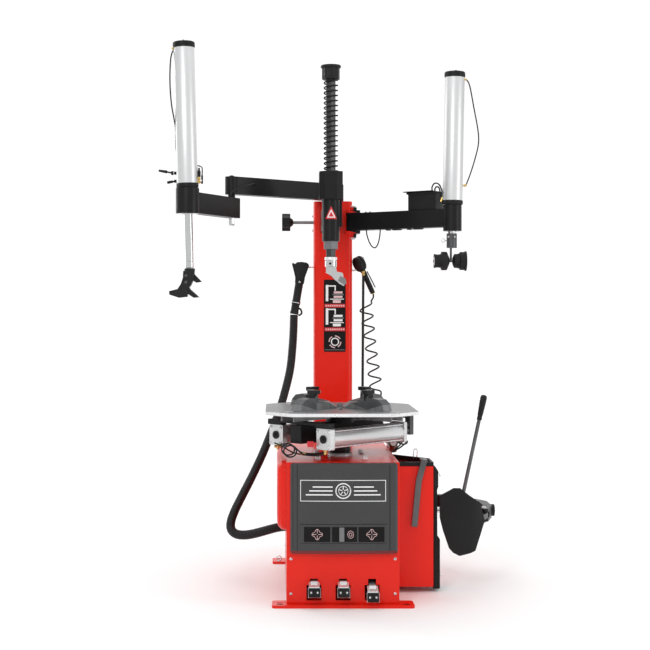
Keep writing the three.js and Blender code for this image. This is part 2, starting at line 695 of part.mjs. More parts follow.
/** Aluminium cylinder with its end bands, open below for the rod. */
function assistCylinder(foot, lean, z0, z1) {
  const at = (z) => onAxis(foot, lean, z, z0);
  return cut(
    join(
      rod(at(z0), at(z0 + 18), 47, 20),
      rod(at(z0 + 10), at(z1 - 20), 45, 20),
      rod(at(z1 - 26), at(z1), 46.5, 20),
    ),
    rod(at(z0 - 5), at(z1 - 46), 20, 16),
  );
}

/** The block that the two levers sit on is fixed behind the cylinder. */
function leftCylinder() {
  const [x, y] = LEFT.cylinder;
  return join(
    assistCylinder(LEFT.cylinder, -LEFT.lean, 1732, 2351),
    box(x - 50, x + 10, y + 40, y + 84, 1750, 1832),
    rod([x - 62, y + 62, 1800], [x - 45, y + 62, 1800], 7, 12),
  );
}

/** Flat lever with a round grip on the valve's stem. */
function valveLever() {
  const [x, y] = [LEFT.cylinder[0] - 62, LEFT.cylinder[1] + 62];
  return join(
    rod([x - 12, y, 1800], [x - 2.4, y, 1800], 9, 12),
    rod([x - 10, y, 1801], [x - 36, y, 1806], 4, 10),
    rod([x - 30, y, 1805], [x - 66, y, 1811], 7, 12, 5),
  );
}

/** Rod of the left assist cylinder. */
const leftRod = () => {
  const at = (z) => onAxis(LEFT.cylinder, -LEFT.lean, z, 1732);
  return rod(at(1379.2), at(2100), 18, 20);
};

/** Press foot: curved leg with a toe block, a second toe and a rear fin. */
function pressFoot() {
  const x = LEFT.cylinder[0] + 9;
  const y = LEFT.cylinder[1];
  const piece = (outline, y0, y1) => prismY(outline.map(([u, v]) => [x + u, v]), y + y0, y + y1);
  const leg = [
    [-26, 1378], [22, 1378], [20, 1345], [8, 1318], [-6, 1300], [-8, 1268], [-44, 1264], [-84, 1277],
    [-86, 1292], [-50, 1301], [-36, 1322], [-27, 1350],
  ];
  return join(
    piece(leg, -26, 22),
    piece([[-6, 1318], [4, 1300], [42, 1266], [18, 1264], [-16, 1286], [-16, 1305]], -20, 34),
    piece([[10, 1376], [52, 1332], [28, 1328], [4, 1344]], -4, 20),
  );
}

/** Right arm: square tube with its pivot barrel and the sleeve below the cylinder. */
function rightArm() {
  const length = distance(RIGHT.pivot, RIGHT.cylinder);
  return cut(
    join(
      box(0, length, -30, 30, 1585, 1667),
      post(0, 0, 1585, 1667, 33),
      post(length, 0, 1567, 1685, 42, 20),
    ),
    post(0, 0, 1580, 1675, RIGHT_PIN + 0.5, 16),
    post(length, 0, 1560, 1690, 22),
  );
}

/** Box of the right arm's air controls, with its lid. */
const controlBox = () => join(
  box(306, 446, -25, 55, 1667 + GAP, 1744),
  box(300, 452, -31, 61, 1740, 1750),
);

/** Chrome rod, collar, stem and the axle that the press roller runs on. */
function rightRod() {
  const [x, y] = [RIGHT.cylinder[0] - 7, RIGHT.cylinder[1]];
  const at = (z) => onAxis(RIGHT.cylinder, RIGHT.lean, z, 1687);
  return join(
    rod(at(1540), at(2050), 17.5, 16),
    post(RIGHT.cylinder[0] - 3, y, 1491, 1556, 23.5),
    post(x, y, ROLLER.z - 2, 1495, 5, 12),
    rod([ROLLER.left - 4, y, ROLLER.z], [ROLLER.right + 4, y, ROLLER.z], 6, 16),
  );
}

/** Cones turned about X: pairs of [x, radius]. */
function cones(steps) {
  const y = RIGHT.cylinder[1];
  const { z } = ROLLER;
  const parts = steps.slice(1).map(([x, r], i) => {
    const [x0, r0] = steps[i];
    return rod([x0, y, z], [x + 0.01, y, z], r0, 20, r);
  });
  const bore = rod([steps[0][0] - 5, y, z], [steps.at(-1)[0] + 5, y, z], 6.5, 10);
  return cut(join(...parts), bore);
}

// ---------------------------------------------------------------- air gun, nozzle and hoses
const GUN = { drum: [126, 1431], grip: [[147, 1392], [192, 1290]] };

/** Gauge drum, handle and hose fitting. */
function inflatorGun() {
  const y = 650;
  const [x, z] = GUN.drum;
  const n = new THREE.Vector2(0.92, 0.39);
  const [top, end] = GUN.grip;
  return join(
    rod([x - 17 * n.x, y, z - 17 * n.y], [x + 17 * n.x, y, z + 17 * n.y], 37, 20),
    rod([x + 4, y, z - 12], [top[0], y, top[1]], 12, 12),
    rod([top[0], y, top[1]], [end[0], y, end[1]], 13, 12, 11),
    rod([144, y, 1388], [144, CHUCK_Y, 1388], 7, 10),
    rod([144, CHUCK_Y, 1396], [144, CHUCK_Y, 1374], 8, 10),
  );
}

/** Trigger plate along the handle's right side. */
const gunTrigger = () => prismY(ribbon([[163, 1396], [184, 1356], [203, 1318]], 2.5), 644, 656);

const CHUCK_Y = 628;
/** Hose that hangs from the gun down to its chuck. */
const chuckHose = () => rod([144, CHUCK_Y, 1373.6], [140, CHUCK_Y, 760], 6.2, 10);

/** Chuck that clips on a tyre's valve. */
const airChuck = () => join(
  post(140, CHUCK_Y, 700, 759.5, 9, 10),
  rod([140, CHUCK_Y, 704], [140, CHUCK_Y - 18, 696], 6, 8),
);

/** Curly hose as the fat tube round its turns, with the plain ends that leave it. */
function curlyHose() {
  const top = tube([[193.4, 650, 1286], [196, 658, 1268], [184, 680, 1254], [160, 700, 1250]], 4, 8, 6);
  const coil = rod([159, 702, 1258], [214, 700, 812], 34.5, 10);
  const end = tube(
    [
      [214, 700, 820], [224, 660, 730], [240, 560, 655], [258, 440, 655],
      [266, 362, 682], [260, 341, 668], [260, 340, 642],
    ],
    4, 24, 6,
  );
  return join(top, coil, end);
}

/** Flattened nozzle of the inflation hose with its stub. */
const blastNozzle = () => {
  const fan = [
    [-197, 1436], [-186, 1430], [-172, 1440], [-125, 1437], [-113, 1424], [-135, 1368], [-140, 1338], [-182, 1338],
    [-181, 1368],
  ];
  return join(prismY(fan, 636, 664), rod([-160, 650, 1350], [-187, 650, 1190], 20, 16));
};

const BLAST_ROUTE = [
  [-187.5, 650, 1187], [-190, 648, 1110], [-195, 640, 1030], [-206, 614, 930], [-228, 580, 836],
  [-258, 545, 736], [-296, 508, 636], [-338, 462, 536], [-387, 410, 437], [-428, 356, 362],
  [-460, 308, 302], [-477, 268, 256], [-474, 236, 226], [-450, 208, 211], [-412, 180, 212],
  [-370, 148, 224], [-320, 120, 242], [-270, 104, 258], [-235, 100, 263],
];

// ---------------------------------------------------------------- bead breaker
/** Bent arm from the upright pivot to the forked end that holds the blade. */
function breakerArm() {
  const { pivot, hinge, z } = BREAKER;
  const line = [pivot, [560, 512], [668, 330], [670, 215], hinge];
  return cut(
    join(
      prismZ(ribbon(line, 19), z - 28, z + 28),
      post(...pivot, z - 45, z + 45, 30),
      post(...hinge, z - 28, z + 28, 20),
      rod([660, 250, z], [706, 250, z], 27, 16),
    ),
    post(...pivot, z - 50, z + 50, PIN + 0.5, 16),
    cut(
      box(hinge[0] - 60, hinge[0] + 60, hinge[1] - 60, hinge[1] + 32, z - 13, z + 13),
      post(...hinge, z - 20, z + 20, 8, 16),
    ),
  );
}

/** Curved plate with the lug that turns on the arm's end. */
function breakerBlade() {
  const { hinge, z } = BREAKER;
  const edge = [
    [428, 416], [486, 450], [514, 450], [553, 419], [604, 383], [614, 343], [625, 306], [581, 180],
    [560, 171], [511, 160], [484, 173], [466, 193], [441, 268], [428, 322],
  ];
  const plate = cut(post(505, 185, 100, 500, 220, 72), post(505, 185, 90, 510, 212, 72));
  const lug = [[578, -20], [606, -12], [656, hinge[1] - 10], [654, hinge[1] + 16], [626, hinge[1] + 16], [618, hinge[1]]];
  return join(
    prismY(edge, -60, 40).intersect(plate),
    cut(prismZ(lug, z - 12, z + 12), post(...hinge, z - 20, z + 20, 8.5, 16)),
  );
}

/** Rod bolted behind the blade, with its grip. */
const breakerHandle = () => join(
  box(500, 534, -23, -10, 330, 400),
  rod([517, -12, 365], [600, -12, 750], 8, 16),
  rod([598, -12, 742], [618, -12, 836], 10, 16, 14),
  rod([617, -12, 832], [620, -12, 846], 14, 16, 9),
);

/** Rod between the breaker's cylinder and its arm. */
const breakerRod = () => rod([-20, 250, BREAKER.z], [632, 250, BREAKER.z], 12, 16);

// ---------------------------------------------------------------- the assembly
place('floor_frame', floorFrame(), 'red');
place('cabinet_shell', cabinetShell(), 'red');
place('front_panel', frontPanel(), 'red');
place('front_cover', frontCover(), 'grey');
place('left_side_cover', leftSideCover(), 'red');
place('side_box', sideBox(), 'red');
place('tool_tray', toolTray(), 'black');
place('wheel_rest_pad', wheelRestPad(), 'rubber');
place('tyre_lever', tyreLever(), 'steel');
place('gearbox', gearbox(), 'steel');
place('drive_motor', driveMotor(), 'grey');
place('motor_pulley', pulley(PULLEY.small, MOTOR.y, MOTOR.z), 'steel');
place('gearbox_pulley', pulley(PULLEY.large, WORM.y, WORM.z), 'steel');
place('drive_belt', driveBelt(), 'rubber');
place('air_tank', airTank(), 'grey');
place('breaker_cylinder', breakerCylinder(), 'grey');
place('filter_regulator', filterRegulator(), 'grey');
PEDAL_X.forEach((x, i) => {
  const mesh = place(PEDAL_NAMES[i], pedal(), 'steel');
  mesh.position.set(x, PEDAL_PIVOT.y, PEDAL_PIVOT.z);
  mesh.rotation.x = THREE.MathUtils.degToRad(i === 2 ? 6 : 0);
});

place('turntable_plate', turntablePlate(), 'steel');
place('spindle_hub', spindleHub(), 'black');
const JAWS = { jaw_rear_right: 45, jaw_rear_left: 135, jaw_front_left: 225, jaw_front_right: 315 };
Object.entries(JAWS).forEach(([name, degrees]) => {
  const body = name === 'jaw_rear_right' ? join(jaw(), box(236, 262, -20, 20, 745, 753), rodFork()) : jaw();
  place(name, body, 'steel').rotation.z = THREE.MathUtils.degToRad(degrees);
});

const clampGroup = new THREE.Group();
clampGroup.rotation.z = DIAGONAL;
model.add(clampGroup);
place('cylinder_carrier', cylinderCarrier(), 'black', clampGroup);
const clampCylinders = [['clamp_cylinder_front', -1], ['clamp_cylinder_rear', 1]];
clampCylinders.forEach(([name, side]) => {
  const mesh = place(name, clampCylinder(), 'aluminium', clampGroup);
  mesh.position.set(0, side * CLAMP_CYLINDER.offset, CLAMP_CYLINDER.z);
});

place('tower_column', towerColumn(), 'red');
place('lock_knob', lockKnob(), 'black');
place('horizontal_arm', horizontalArm(), 'black');
place('shaft_guide', shaftGuide(), 'black');
place('shaft_spring', shaftSpring(), 'black');
place('hex_shaft', hexShaft(), 'steel');
place('shaft_cap', shaftCap(), 'black');
place('mount_head', mountHead(), 'chrome');

const innerArm = place('left_inner_arm', leftInnerArm(), 'black');
innerArm.position.set(...LEFT.pivot, 0);
innerArm.rotation.z = bearing(LEFT.pivot, LEFT.elbow);
const outerArm = place('left_outer_arm', leftOuterArm(), 'black');
outerArm.position.set(...LEFT.elbow, 0);
outerArm.rotation.z = bearing(LEFT.elbow, LEFT.cylinder);
place('left_cylinder', leftCylinder(), 'aluminium');
place('left_valve_lever', valveLever(), 'black');
place('left_rod', leftRod(), 'chrome');
place('left_press_foot', pressFoot(), 'black');

const rightGroup = new THREE.Group();
rightGroup.position.set(...RIGHT.pivot, 0);
rightGroup.rotation.z = bearing(RIGHT.pivot, RIGHT.cylinder);
model.add(rightGroup);
place('right_arm', rightArm(), 'black', rightGroup);
place('control_box', controlBox(), 'black', rightGroup);
place('right_cylinder', assistCylinder(RIGHT.cylinder, RIGHT.lean, 1687, 2285), 'aluminium');
place('right_rod', rightRod(), 'chrome');
place('press_roller_left', cones([[439, 32.5], [471, 32.5], [471.5, 42], [496, 42], [508, 14]]), 'black');
place('press_roller_right', cones([[522, 14], [530, 31.5], [552, 34], [583, 46]]), 'black');

place('inflator_gun', inflatorGun(), 'black');
place('gun_trigger', gunTrigger(), 'black');
place('chuck_hose', chuckHose(), 'rubber');
place('air_chuck', airChuck(), 'steel');
place('curly_hose', curlyHose(), 'rubber');
place('blast_nozzle', blastNozzle(), 'black');
place('blast_hose', tube(BLAST_ROUTE, 20.5, 26, 8), 'rubber');

place('breaker_arm', breakerArm(), 'black');
place('breaker_blade', breakerBlade(), 'black');
place('breaker_handle', breakerHandle(), 'steel');
place('breaker_rod', breakerRod(), 'chrome');

export default model;
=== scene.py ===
"""The look of the tire changer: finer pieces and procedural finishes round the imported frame.

Lengths are in millimetres. The frame's own calls, the stage and the materials take metres.
"""

import json
import math

import bmesh
import bpy
from mathutils import Matrix, Vector


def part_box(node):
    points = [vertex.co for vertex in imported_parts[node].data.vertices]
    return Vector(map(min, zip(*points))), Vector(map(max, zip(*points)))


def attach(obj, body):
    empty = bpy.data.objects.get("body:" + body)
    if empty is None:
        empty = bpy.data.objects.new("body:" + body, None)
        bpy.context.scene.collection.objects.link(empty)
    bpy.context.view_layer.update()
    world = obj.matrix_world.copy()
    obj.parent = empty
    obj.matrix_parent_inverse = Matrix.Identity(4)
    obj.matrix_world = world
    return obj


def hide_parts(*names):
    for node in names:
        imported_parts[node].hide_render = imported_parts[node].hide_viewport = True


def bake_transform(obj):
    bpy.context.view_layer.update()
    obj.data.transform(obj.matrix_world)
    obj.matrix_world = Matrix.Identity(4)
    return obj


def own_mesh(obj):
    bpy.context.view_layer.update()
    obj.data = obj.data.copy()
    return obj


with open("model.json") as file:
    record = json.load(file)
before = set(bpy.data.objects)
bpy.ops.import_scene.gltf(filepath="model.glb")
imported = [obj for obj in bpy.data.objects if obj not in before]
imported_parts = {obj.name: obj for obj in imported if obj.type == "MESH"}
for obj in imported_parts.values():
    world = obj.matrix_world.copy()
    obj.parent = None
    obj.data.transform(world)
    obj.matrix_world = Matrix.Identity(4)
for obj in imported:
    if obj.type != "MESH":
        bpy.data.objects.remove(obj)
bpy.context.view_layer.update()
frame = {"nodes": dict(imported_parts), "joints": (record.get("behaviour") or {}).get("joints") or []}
JOINTS = {j["name"]: j for j in frame["joints"]}
MM = 0.001
UP = Vector((0, 0, 1))
DOWN = Vector((0, 0, -1))
FRONT = Vector((0, -1, 0))
BACK = Vector((0, 1, 0))
RIGHT = Vector((1, 0, 0))
LEFT = Vector((-1, 0, 0))


def span(node):
    """Lowest and highest corner of a CAD node, in millimetres."""
    low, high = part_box(node)
    return low / MM, high / MM


def pivot(joint):
    """Where a hinge turns, in millimetres."""
    return Vector(JOINTS[joint]["pos_m"]) / MM


# ---------------------------------------------------------------- camera, light and floor
LENS, SENSOR = 71.56, 36
CAMERA_AT = (-0.274, -5.559, 1.229)
SHIFT = (0.0754, -0.0292)
SEEN_TO = 60
WORLD_LIGHT = 0.72
# The wall stands behind every place that the camera takes, so that no view looks at its back.
FLOOR_REACH, WALL_FOOT, WALL_BEND, WALL_TOP = 20, 11, 3, 12
BEND_STEPS = 12
# The floor glows faintly from here back, more up to the second distance, as the lamps' light falls off.
GLOW_FROM, GLOW_TO, WALL_GLOW = 1, 5.5, 0.27


def show(made):
    """Puts an object into the scene."""
    bpy.context.scene.collection.objects.link(made)
    return made


def plug(node, inputs):
    """Fills a node's sockets. Another node's socket is linked, and anything else is a value."""
    for name, value in inputs.items():
        if isinstance(value, bpy.types.NodeSocket):
            node.id_data.links.new(value, node.inputs[name])
        else:
            node.inputs[name].default_value = value
    return node


def camera():
    """The level camera in front of the machine, a little to its left."""
    made = show(bpy.data.objects.new("camera", bpy.data.cameras.new("camera")))
    made.location = CAMERA_AT
    made.rotation_euler = (math.pi / 2, 0, 0)
    made.data.lens = LENS
    made.data.sensor_width = SENSOR
    made.data.shift_x, made.data.shift_y = SHIFT
    made.data.clip_end = SEEN_TO
    bpy.context.scene.camera = made


def lamp(name, place, size, power, aim=(0, 0, 1)):
    """A rectangular lamp turned towards a place."""
    light = bpy.data.lights.new(name, "AREA")
    light.shape = "RECTANGLE"
    light.size, light.size_y = size
    light.energy = power
    made = show(bpy.data.objects.new(name, light))
    made.location = place
    made.rotation_euler = (Vector(aim) - Vector(place)).to_track_quat("-Z", "Y").to_euler()


def lights():
    """Four soft lamps in a pale world."""
    lamp("key_light", (-1.6, -4.4, 3.4), (1.0, 1.9), 48, (0, 0.2, 1.0))
    lamp("right_strip", (3.4, -1.4, 1.8), (0.5, 3.2), 24)
    lamp("back_strip", (-3.0, 2.2, 2.2), (0.6, 3.2), 22)
    lamp("top_light", (0, 0.6, 5.2), (4.4, 4.4), 100, (0, 0.2, 0))
    world = bpy.data.worlds.new("studio")
    world.use_nodes = True
    plug(world.node_tree.nodes["Background"], {"Color": (1, 1, 1, 1), "Strength": WORLD_LIGHT})
    bpy.context.scene.world = world
    bpy.context.scene.view_settings.view_transform = "Standard"


def backdrop():
    """A pale floor that bends up into a wall far behind."""
    rows = [(-FLOOR_REACH, 0), (WALL_FOOT, 0)]
    for step in range(1, BEND_STEPS + 1):
        a = math.pi * step / (2 * BEND_STEPS)
        rows.append((WALL_FOOT + WALL_BEND * math.sin(a), WALL_BEND * (1 - math.cos(a))))
    rows.append((WALL_FOOT + WALL_BEND, WALL_TOP))
    corners = [(side * FLOOR_REACH, y, z) for y, z in rows for side in (-1, 1)]
    faces = [(2 * i, 2 * i + 1, 2 * i + 3, 2 * i + 2) for i in range(len(rows) - 1)]
    mesh = bpy.data.meshes.new("floor")
    mesh.from_pydata(corners, [], faces)
    mesh.shade_smooth()
    white = bpy.data.materials.new("studio_white")
    white.use_nodes = True
    nodes = white.node_tree.nodes
    place = nodes.new("ShaderNodeTexCoord").outputs["Object"]
    depth = plug(nodes.new("ShaderNodeSeparateXYZ"), {"Vector": place}).outputs["Y"]
    rise = {"From Min": GLOW_FROM, "From Max": GLOW_TO, "To Max": WALL_GLOW, "Value": depth}
    glow = plug(nodes.new("ShaderNodeMapRange"), rise).outputs["Result"]
    plug(nodes["Principled BSDF"], {"Base Color": (0.93, 0.93, 0.93, 1), "Roughness": 0.7,
                                    "Emission Color": (1, 1, 1, 1), "Emission Strength": glow})
    mesh.materials.append(white)
    floor = show(bpy.data.objects.new("floor", mesh))


# ---------------------------------------------------------------- finishes
NOISE_LOW, NOISE_HIGH = 0.3, 0.7
# The colour mixed in towards the bottom, and the height in metres where that darkening starts.
LOW_DARK_COLOUR, LOW_DARK_TOP = (0.1, 0.08, 0.07, 1), 0.22
GRAIN_DEPTH = 0.0006
COAT_ROUGH = 0.06


def finish(name, colour, rough, metal=0.0, vary=0.12, grain=400.0, bump=0.15, stretch=(1, 1, 1), coat=0.0,
           low_darkening=0.0, gloss=0.2, shine=0.5):
    """A finish with cloudy colour, uneven gloss, a fine surface grain and its colour darkened in patches
    towards the bottom.
    """
    material = bpy.data.materials.new(name)
    material.use_nodes = True
    nodes = material.node_tree.nodes
    place = nodes.new("ShaderNodeTexCoord").outputs["Object"]
    grained = plug(nodes.new("ShaderNodeMapping"), {"Scale": stretch, "Vector": place}).outputs["Vector"]

    def noise(scale, detail, source):
        """Soft noise of the given fineness."""
        made = plug(nodes.new("ShaderNodeTexNoise"), {"Scale": scale, "Detail": detail, "Vector": source})
        return made.outputs["Fac"]

    def spread(value, low, high, start=NOISE_LOW, end=NOISE_HIGH):
        """A value's range between start and end, spread from low to high."""
        ends = {"From Min": start, "From Max": end, "To Min": low, "To Max": high, "Value": value}
        return plug(nodes.new("ShaderNodeMapRange"), ends).outputs["Result"]

    def mixed(first, second, share):
        """One colour with a share of another."""
        made = nodes.new("ShaderNodeMix")
        made.data_type = "RGBA"
        return plug(made, {"A": first, "B": second, "Factor": share}).outputs["Result"]

    darker = (*[c * (1 - vary) for c in colour], 1)
    lighter = (*[min(1, c * (1 + vary)) for c in colour], 1)
    tint = mixed(darker, lighter, spread(noise(6, 4, grained), 0, 1))
    # Darker brown in patches towards the bottom, up to a set height.
    if low_darkening:
        height = plug(nodes.new("ShaderNodeSeparateXYZ"), {"Vector": place}).outputs["Z"]
        patchy = nodes.new("ShaderNodeMath")
        patchy.operation = "MULTIPLY"
        plug(patchy, {0: spread(height, 0, low_darkening, LOW_DARK_TOP, 0), 1: spread(noise(26, 5, place), 0.2, 1)})
        tint = mixed(tint, LOW_DARK_COLOUR, patchy.outputs["Value"])
    relief = plug(nodes.new("ShaderNodeBump"), {"Strength": bump, "Distance": GRAIN_DEPTH,
                                                "Height": noise(grain, 3, grained)})
    uneven = spread(noise(38, 4, grained), rough * (1 - gloss), min(1, rough * (1 + gloss)))
    plug(nodes["Principled BSDF"], {
        "Base Color": tint, "Roughness": uneven, "Normal": relief.outputs["Normal"], "Metallic": metal,
        "Coat Weight": coat, "Coat Roughness": COAT_ROUGH, "Specular IOR Level": shine})
    return material


RED = finish("red_enamel", (0.77, 0.013, 0.003), 0.3, vary=0.02, grain=600, bump=0.015, coat=0.14,
             low_darkening=0.04, gloss=0.04, shine=0.2)
# Dark red standing in for shade: painted shade and painted reflection on the cover's lower lip, and painted
# shade in the rear louvres.
PAINTED_RED_SHADE = finish("painted_red_shade", (0.16, 0.004, 0.004), 0.4, vary=0.1)
BLACK = finish("black_powder_coat", (0.010, 0.010, 0.0105), 0.42, vary=0.2, grain=900, bump=0.25, shine=0.2)
SATIN = finish("satin_black_enamel", (0.008, 0.008, 0.0085), 0.34, vary=0.15, grain=300, bump=0.08,
               gloss=0.1, shine=0.22)
SHEEN_BLACK = finish("satin_black_guard", (0.010, 0.010, 0.0105), 0.3, vary=0.15, grain=500, bump=0.08,
                     shine=0.28)
MOULDED = finish("moulded_black", (0.009, 0.009, 0.0095), 0.5, vary=0.15, grain=1200, bump=0.3, shine=0.25)
COVER = finish("dark_grey_moulding", (0.05, 0.05, 0.052), 0.34, vary=0.06, grain=1500, bump=0.12, shine=0.3)
GREY_PAINT = finish("grey_plate", (0.16, 0.16, 0.165), 0.4, vary=0.1)
GREY_DARK = finish("blackened_steel", (0.06, 0.06, 0.062), 0.36, 0.5, 0.2, 300, 0.2)
STEEL = finish("machined_steel", (0.24, 0.242, 0.246), 0.4, 0.7, 0.22, 300, 0.2, (1, 14, 1))
DARK_STEEL = finish("oiled_steel", (0.12, 0.122, 0.125), 0.4, 0.75, 0.3, 260, 0.3)
BRIGHT = finish("ground_steel", (0.78, 0.78, 0.79), 0.26, 0.7, 0.08, 500, 0.08)
ALUMINIUM = finish("satin_aluminium", (0.74, 0.745, 0.75), 0.4, 0.72, 0.04, 420, 0.08, (1, 1, 0.04),
                   gloss=0.06)
DIE_CAST = finish("die_cast_end", (0.50, 0.505, 0.51), 0.42, 0.75, 0.12, 900, 0.3)
CHROME = finish("chrome", (0.72, 0.725, 0.73), 0.1, 1.0, 0.03, 200, 0.02)
EDGE = finish("milled_edge", (0.86, 0.86, 0.87), 0.3, 0.35, 0.05, 500, 0.06)
BRASS = finish("brass", (0.62, 0.42, 0.14), 0.28, 0.95, 0.1, 500, 0.1)
RUBBER = finish("black_rubber", (0.010, 0.010, 0.010), 0.6, vary=0.25, grain=700, bump=0.35, shine=0.25)
HOSE = finish("hose_black", (0.011, 0.011, 0.0115), 0.45, vary=0.2, grain=800, bump=0.2, shine=0.28)
WHITE = finish("printed_white", (0.85, 0.85, 0.85), 0.45, vary=0.03)
PINK = finish("printed_pale_pink", (0.74, 0.50, 0.50), 0.45, vary=0.05)
SIGN_RED = finish("printed_red", (0.62, 0.02, 0.03), 0.4, vary=0.05)
# Flat black for print and small black parts, and painted shade in the screws' cross cuts and the feet's
# slots.
BLACK_AND_SHADE = finish("flat_black_and_painted_shade", (0.007, 0.006, 0.006), 0.4, vary=0.1, shine=0.15)
BOWL = finish("amber_bowl", (0.16, 0.03, 0.015), 0.15, vary=0.2, coat=0.5)


# ---------------------------------------------------------------- mesh building
def smooth_path(points, steps=6):
    """A rounded path through given points."""
    ends = [points[0] * 2 - points[1], *points, points[-1] * 2 - points[-2]]
    path = []
    for a, b, c, d in zip(ends, ends[1:], ends[2:], ends[3:]):
        for i in range(steps):
            t = i / steps
            path.append(0.5 * (2 * b + (c - a) * t + (2 * a - 5 * b + 4 * c - d) * t ** 2
                               + (3 * b - a - 3 * c + d) * t ** 3))
    return [*path, points[-1]]


def cross_axes(along):
    """Two directions square to a direction and to each other."""
    along = along.normalized()
    side = along.orthogonal().normalized()
    return side, along.cross(side)


def turned(u, v, angle):
    """The direction at an angle from u towards v."""
    return u * math.cos(angle) + v * math.sin(angle)


def skin(rings, sides):
    """Faces round a row of rings of points, with a cap at each end."""
    faces = []
    for first in range(0, (rings - 1) * sides, sides):
        for i in range(sides):
            j = (i + 1) % sides
            faces.append((first + i, first + j, first + sides + j, first + sides + i))
    return [*faces, tuple(range(sides)), tuple(range((rings - 1) * sides, rings * sides))]


class Shape:
    """One piece in the making: simple solids in millimetres, each with its own finish."""

    def __init__(self):
        self.mesh = bmesh.new()
        self.finishes = []

    def fill(self, corners, faces, finish_used, soften=0.0):
        """Adds faces over some corners, with their sharp edges softened."""
        part = bmesh.new()
        verts = [part.verts.new(c) for c in corners]
        for face in faces:
            part.faces.new([verts[i] for i in face])
        bmesh.ops.recalc_face_normals(part, faces=part.faces)
        if soften:
            sharp = [e for e in part.edges if len(e.link_faces) == 2 and e.calc_face_angle() > 0.6]
            bmesh.ops.bevel(part, geom=sharp, offset=soften, segments=2, profile=0.6, affect="EDGES",
                            clamp_overlap=True)
        if finish_used not in self.finishes:
            self.finishes.append(finish_used)
        for face in part.faces:
            face.material_index = self.finishes.index(finish_used)
        held = bpy.data.meshes.new("held")
        part.to_mesh(held)
        part.free()
        self.mesh.from_mesh(held)
        bpy.data.meshes.remove(held)
        return self

    def lathe(self, at, along, profile, finish_used, sides=40):
        """A turned solid: its profile is (radius, distance) pairs along a direction."""
        at, along = Vector(at), Vector(along).normalized()
        u, v = cross_axes(along)
        spokes = [turned(u, v, 2 * math.pi * i / sides) for i in range(sides)]
        corners = []
        for radius, reach in profile:
            corners += [at + along * reach + spoke * max(radius, 0.01) for spoke in spokes]
        return self.fill(corners, skin(len(profile), sides), finish_used)

    def rod(self, start, end, radius, finish_used, sides=32, edge=None):
        """A round bar between two points with its end edges cut."""
        start, end = Vector(start), Vector(end)
        edge = min(radius * 0.2, 2) if edge is None else edge
        reach = (end - start).length
        profile = [(radius - edge, 0), (radius, edge), (radius, reach - edge), (radius - edge, reach)]
        return self.lathe(start, end - start, profile, finish_used, sides)

    def sweep(self, path, radius, finish_used, sides=14):
        """A round tube along a path. The radius is a number or one for each point."""
        radii = radius if isinstance(radius, list) else [radius] * len(path)
        tangents = [(b - a).normalized() for a, b in zip([path[0], *path[:-1]], [*path[1:], path[-1]])]
        side, _ = cross_axes(tangents[0])
        corners = []
        for point, tangent, r in zip(path, tangents, radii):
            side = (side - tangent * side.dot(tangent)).normalized()
            other = tangent.cross(side)
            corners += [point + turned(side, other, 2 * math.pi * i / sides) * r for i in range(sides)]
        return self.fill(corners, skin(len(path), sides), finish_used)

    def wire(self, points, radius, finish_used):
        """A bent wire or thin hose through given points."""
        return self.sweep(smooth_path([Vector(p) for p in points]), radius, finish_used, 10)

    def slab(self, outline, at, u, v, thickness, finish_used, soften=0.0):
        """A flat plate: an outline in the u and v directions, made thick along their normal."""
        at, u, v = Vector(at), Vector(u).normalized(), Vector(v).normalized()
        normal = u.cross(v)
        low = [at + u * x + v * y for x, y in outline]
        corners = low + [c + normal * thickness for c in low]
        n = len(outline)
        faces = [tuple(range(n)), tuple(range(n, 2 * n))]
        faces += [(i, (i + 1) % n, n + (i + 1) % n, n + i) for i in range(n)]
        return self.fill(corners, faces, finish_used, soften)

    def block(self, low, high, finish_used, soften=1.2):
        """An upright box between two corners."""
        (x0, y0, z0), (x1, y1, z1) = low, high
        outline = [(x0, y0), (x1, y0), (x1, y1), (x0, y1)]
        return self.slab(outline, (0, 0, z0), RIGHT, BACK, z1 - z0, finish_used, soften)

    def bolt(self, at, along, size, finish_used, washer=True, head="hex"):
        """A bolt head of the given thread size that stands on a face, with its washer."""
        at, along = Vector(at), Vector(along).normalized()
        lift = 0
        if washer:
            lift = size * 0.18
            washer_profile = [(size * 1.05, 0), (size * 1.05, lift * 0.7), (size * 0.98, lift)]
            self.lathe(at, along, washer_profile, finish_used, 28)
        base = at + along * lift
        if head == "hex":
            r, tall = size * 0.95, size * 0.65
            self.lathe(base, along, [(r, 0), (r, tall * 0.85), (r * 0.88, tall)], finish_used, 6)
            return self
        r, tall = size * 0.8, size * 0.9
        socket = [(r, 0), (r, tall * 0.88), (r * 0.9, tall), (r * 0.56, tall), (r * 0.5, tall * 0.45)]
        self.lathe(base, along, socket, finish_used, 24)
        return self

    def screw(self, at, along, radius, finish_used):
        """A low domed screw head, its cross cut drawn as a thin black cross of painted shade on the dome.
        """
        at, along = Vector(at), Vector(along).normalized()
        dome = [(radius, 0), (radius, radius * 0.15), (radius * 0.8, radius * 0.4),
                (radius * 0.4, radius * 0.52)]
        self.lathe(at, along, dome, finish_used, 24)
        u, v = cross_axes(along)
        # The cross cut is not cut: a black cross standing on the dome is painted shade in the recess.
        for axis, other in ((u, v), (v, u)):
            half, thin = radius * 0.5, radius * 0.1
            outline = [(-half, -thin), (half, -thin), (half, thin), (-half, thin)]
            deep = radius * 0.19 * axis.cross(other).dot(along)
            self.slab(outline, at + along * radius * 0.36, axis, other, deep, BLACK_AND_SHADE)
        return self

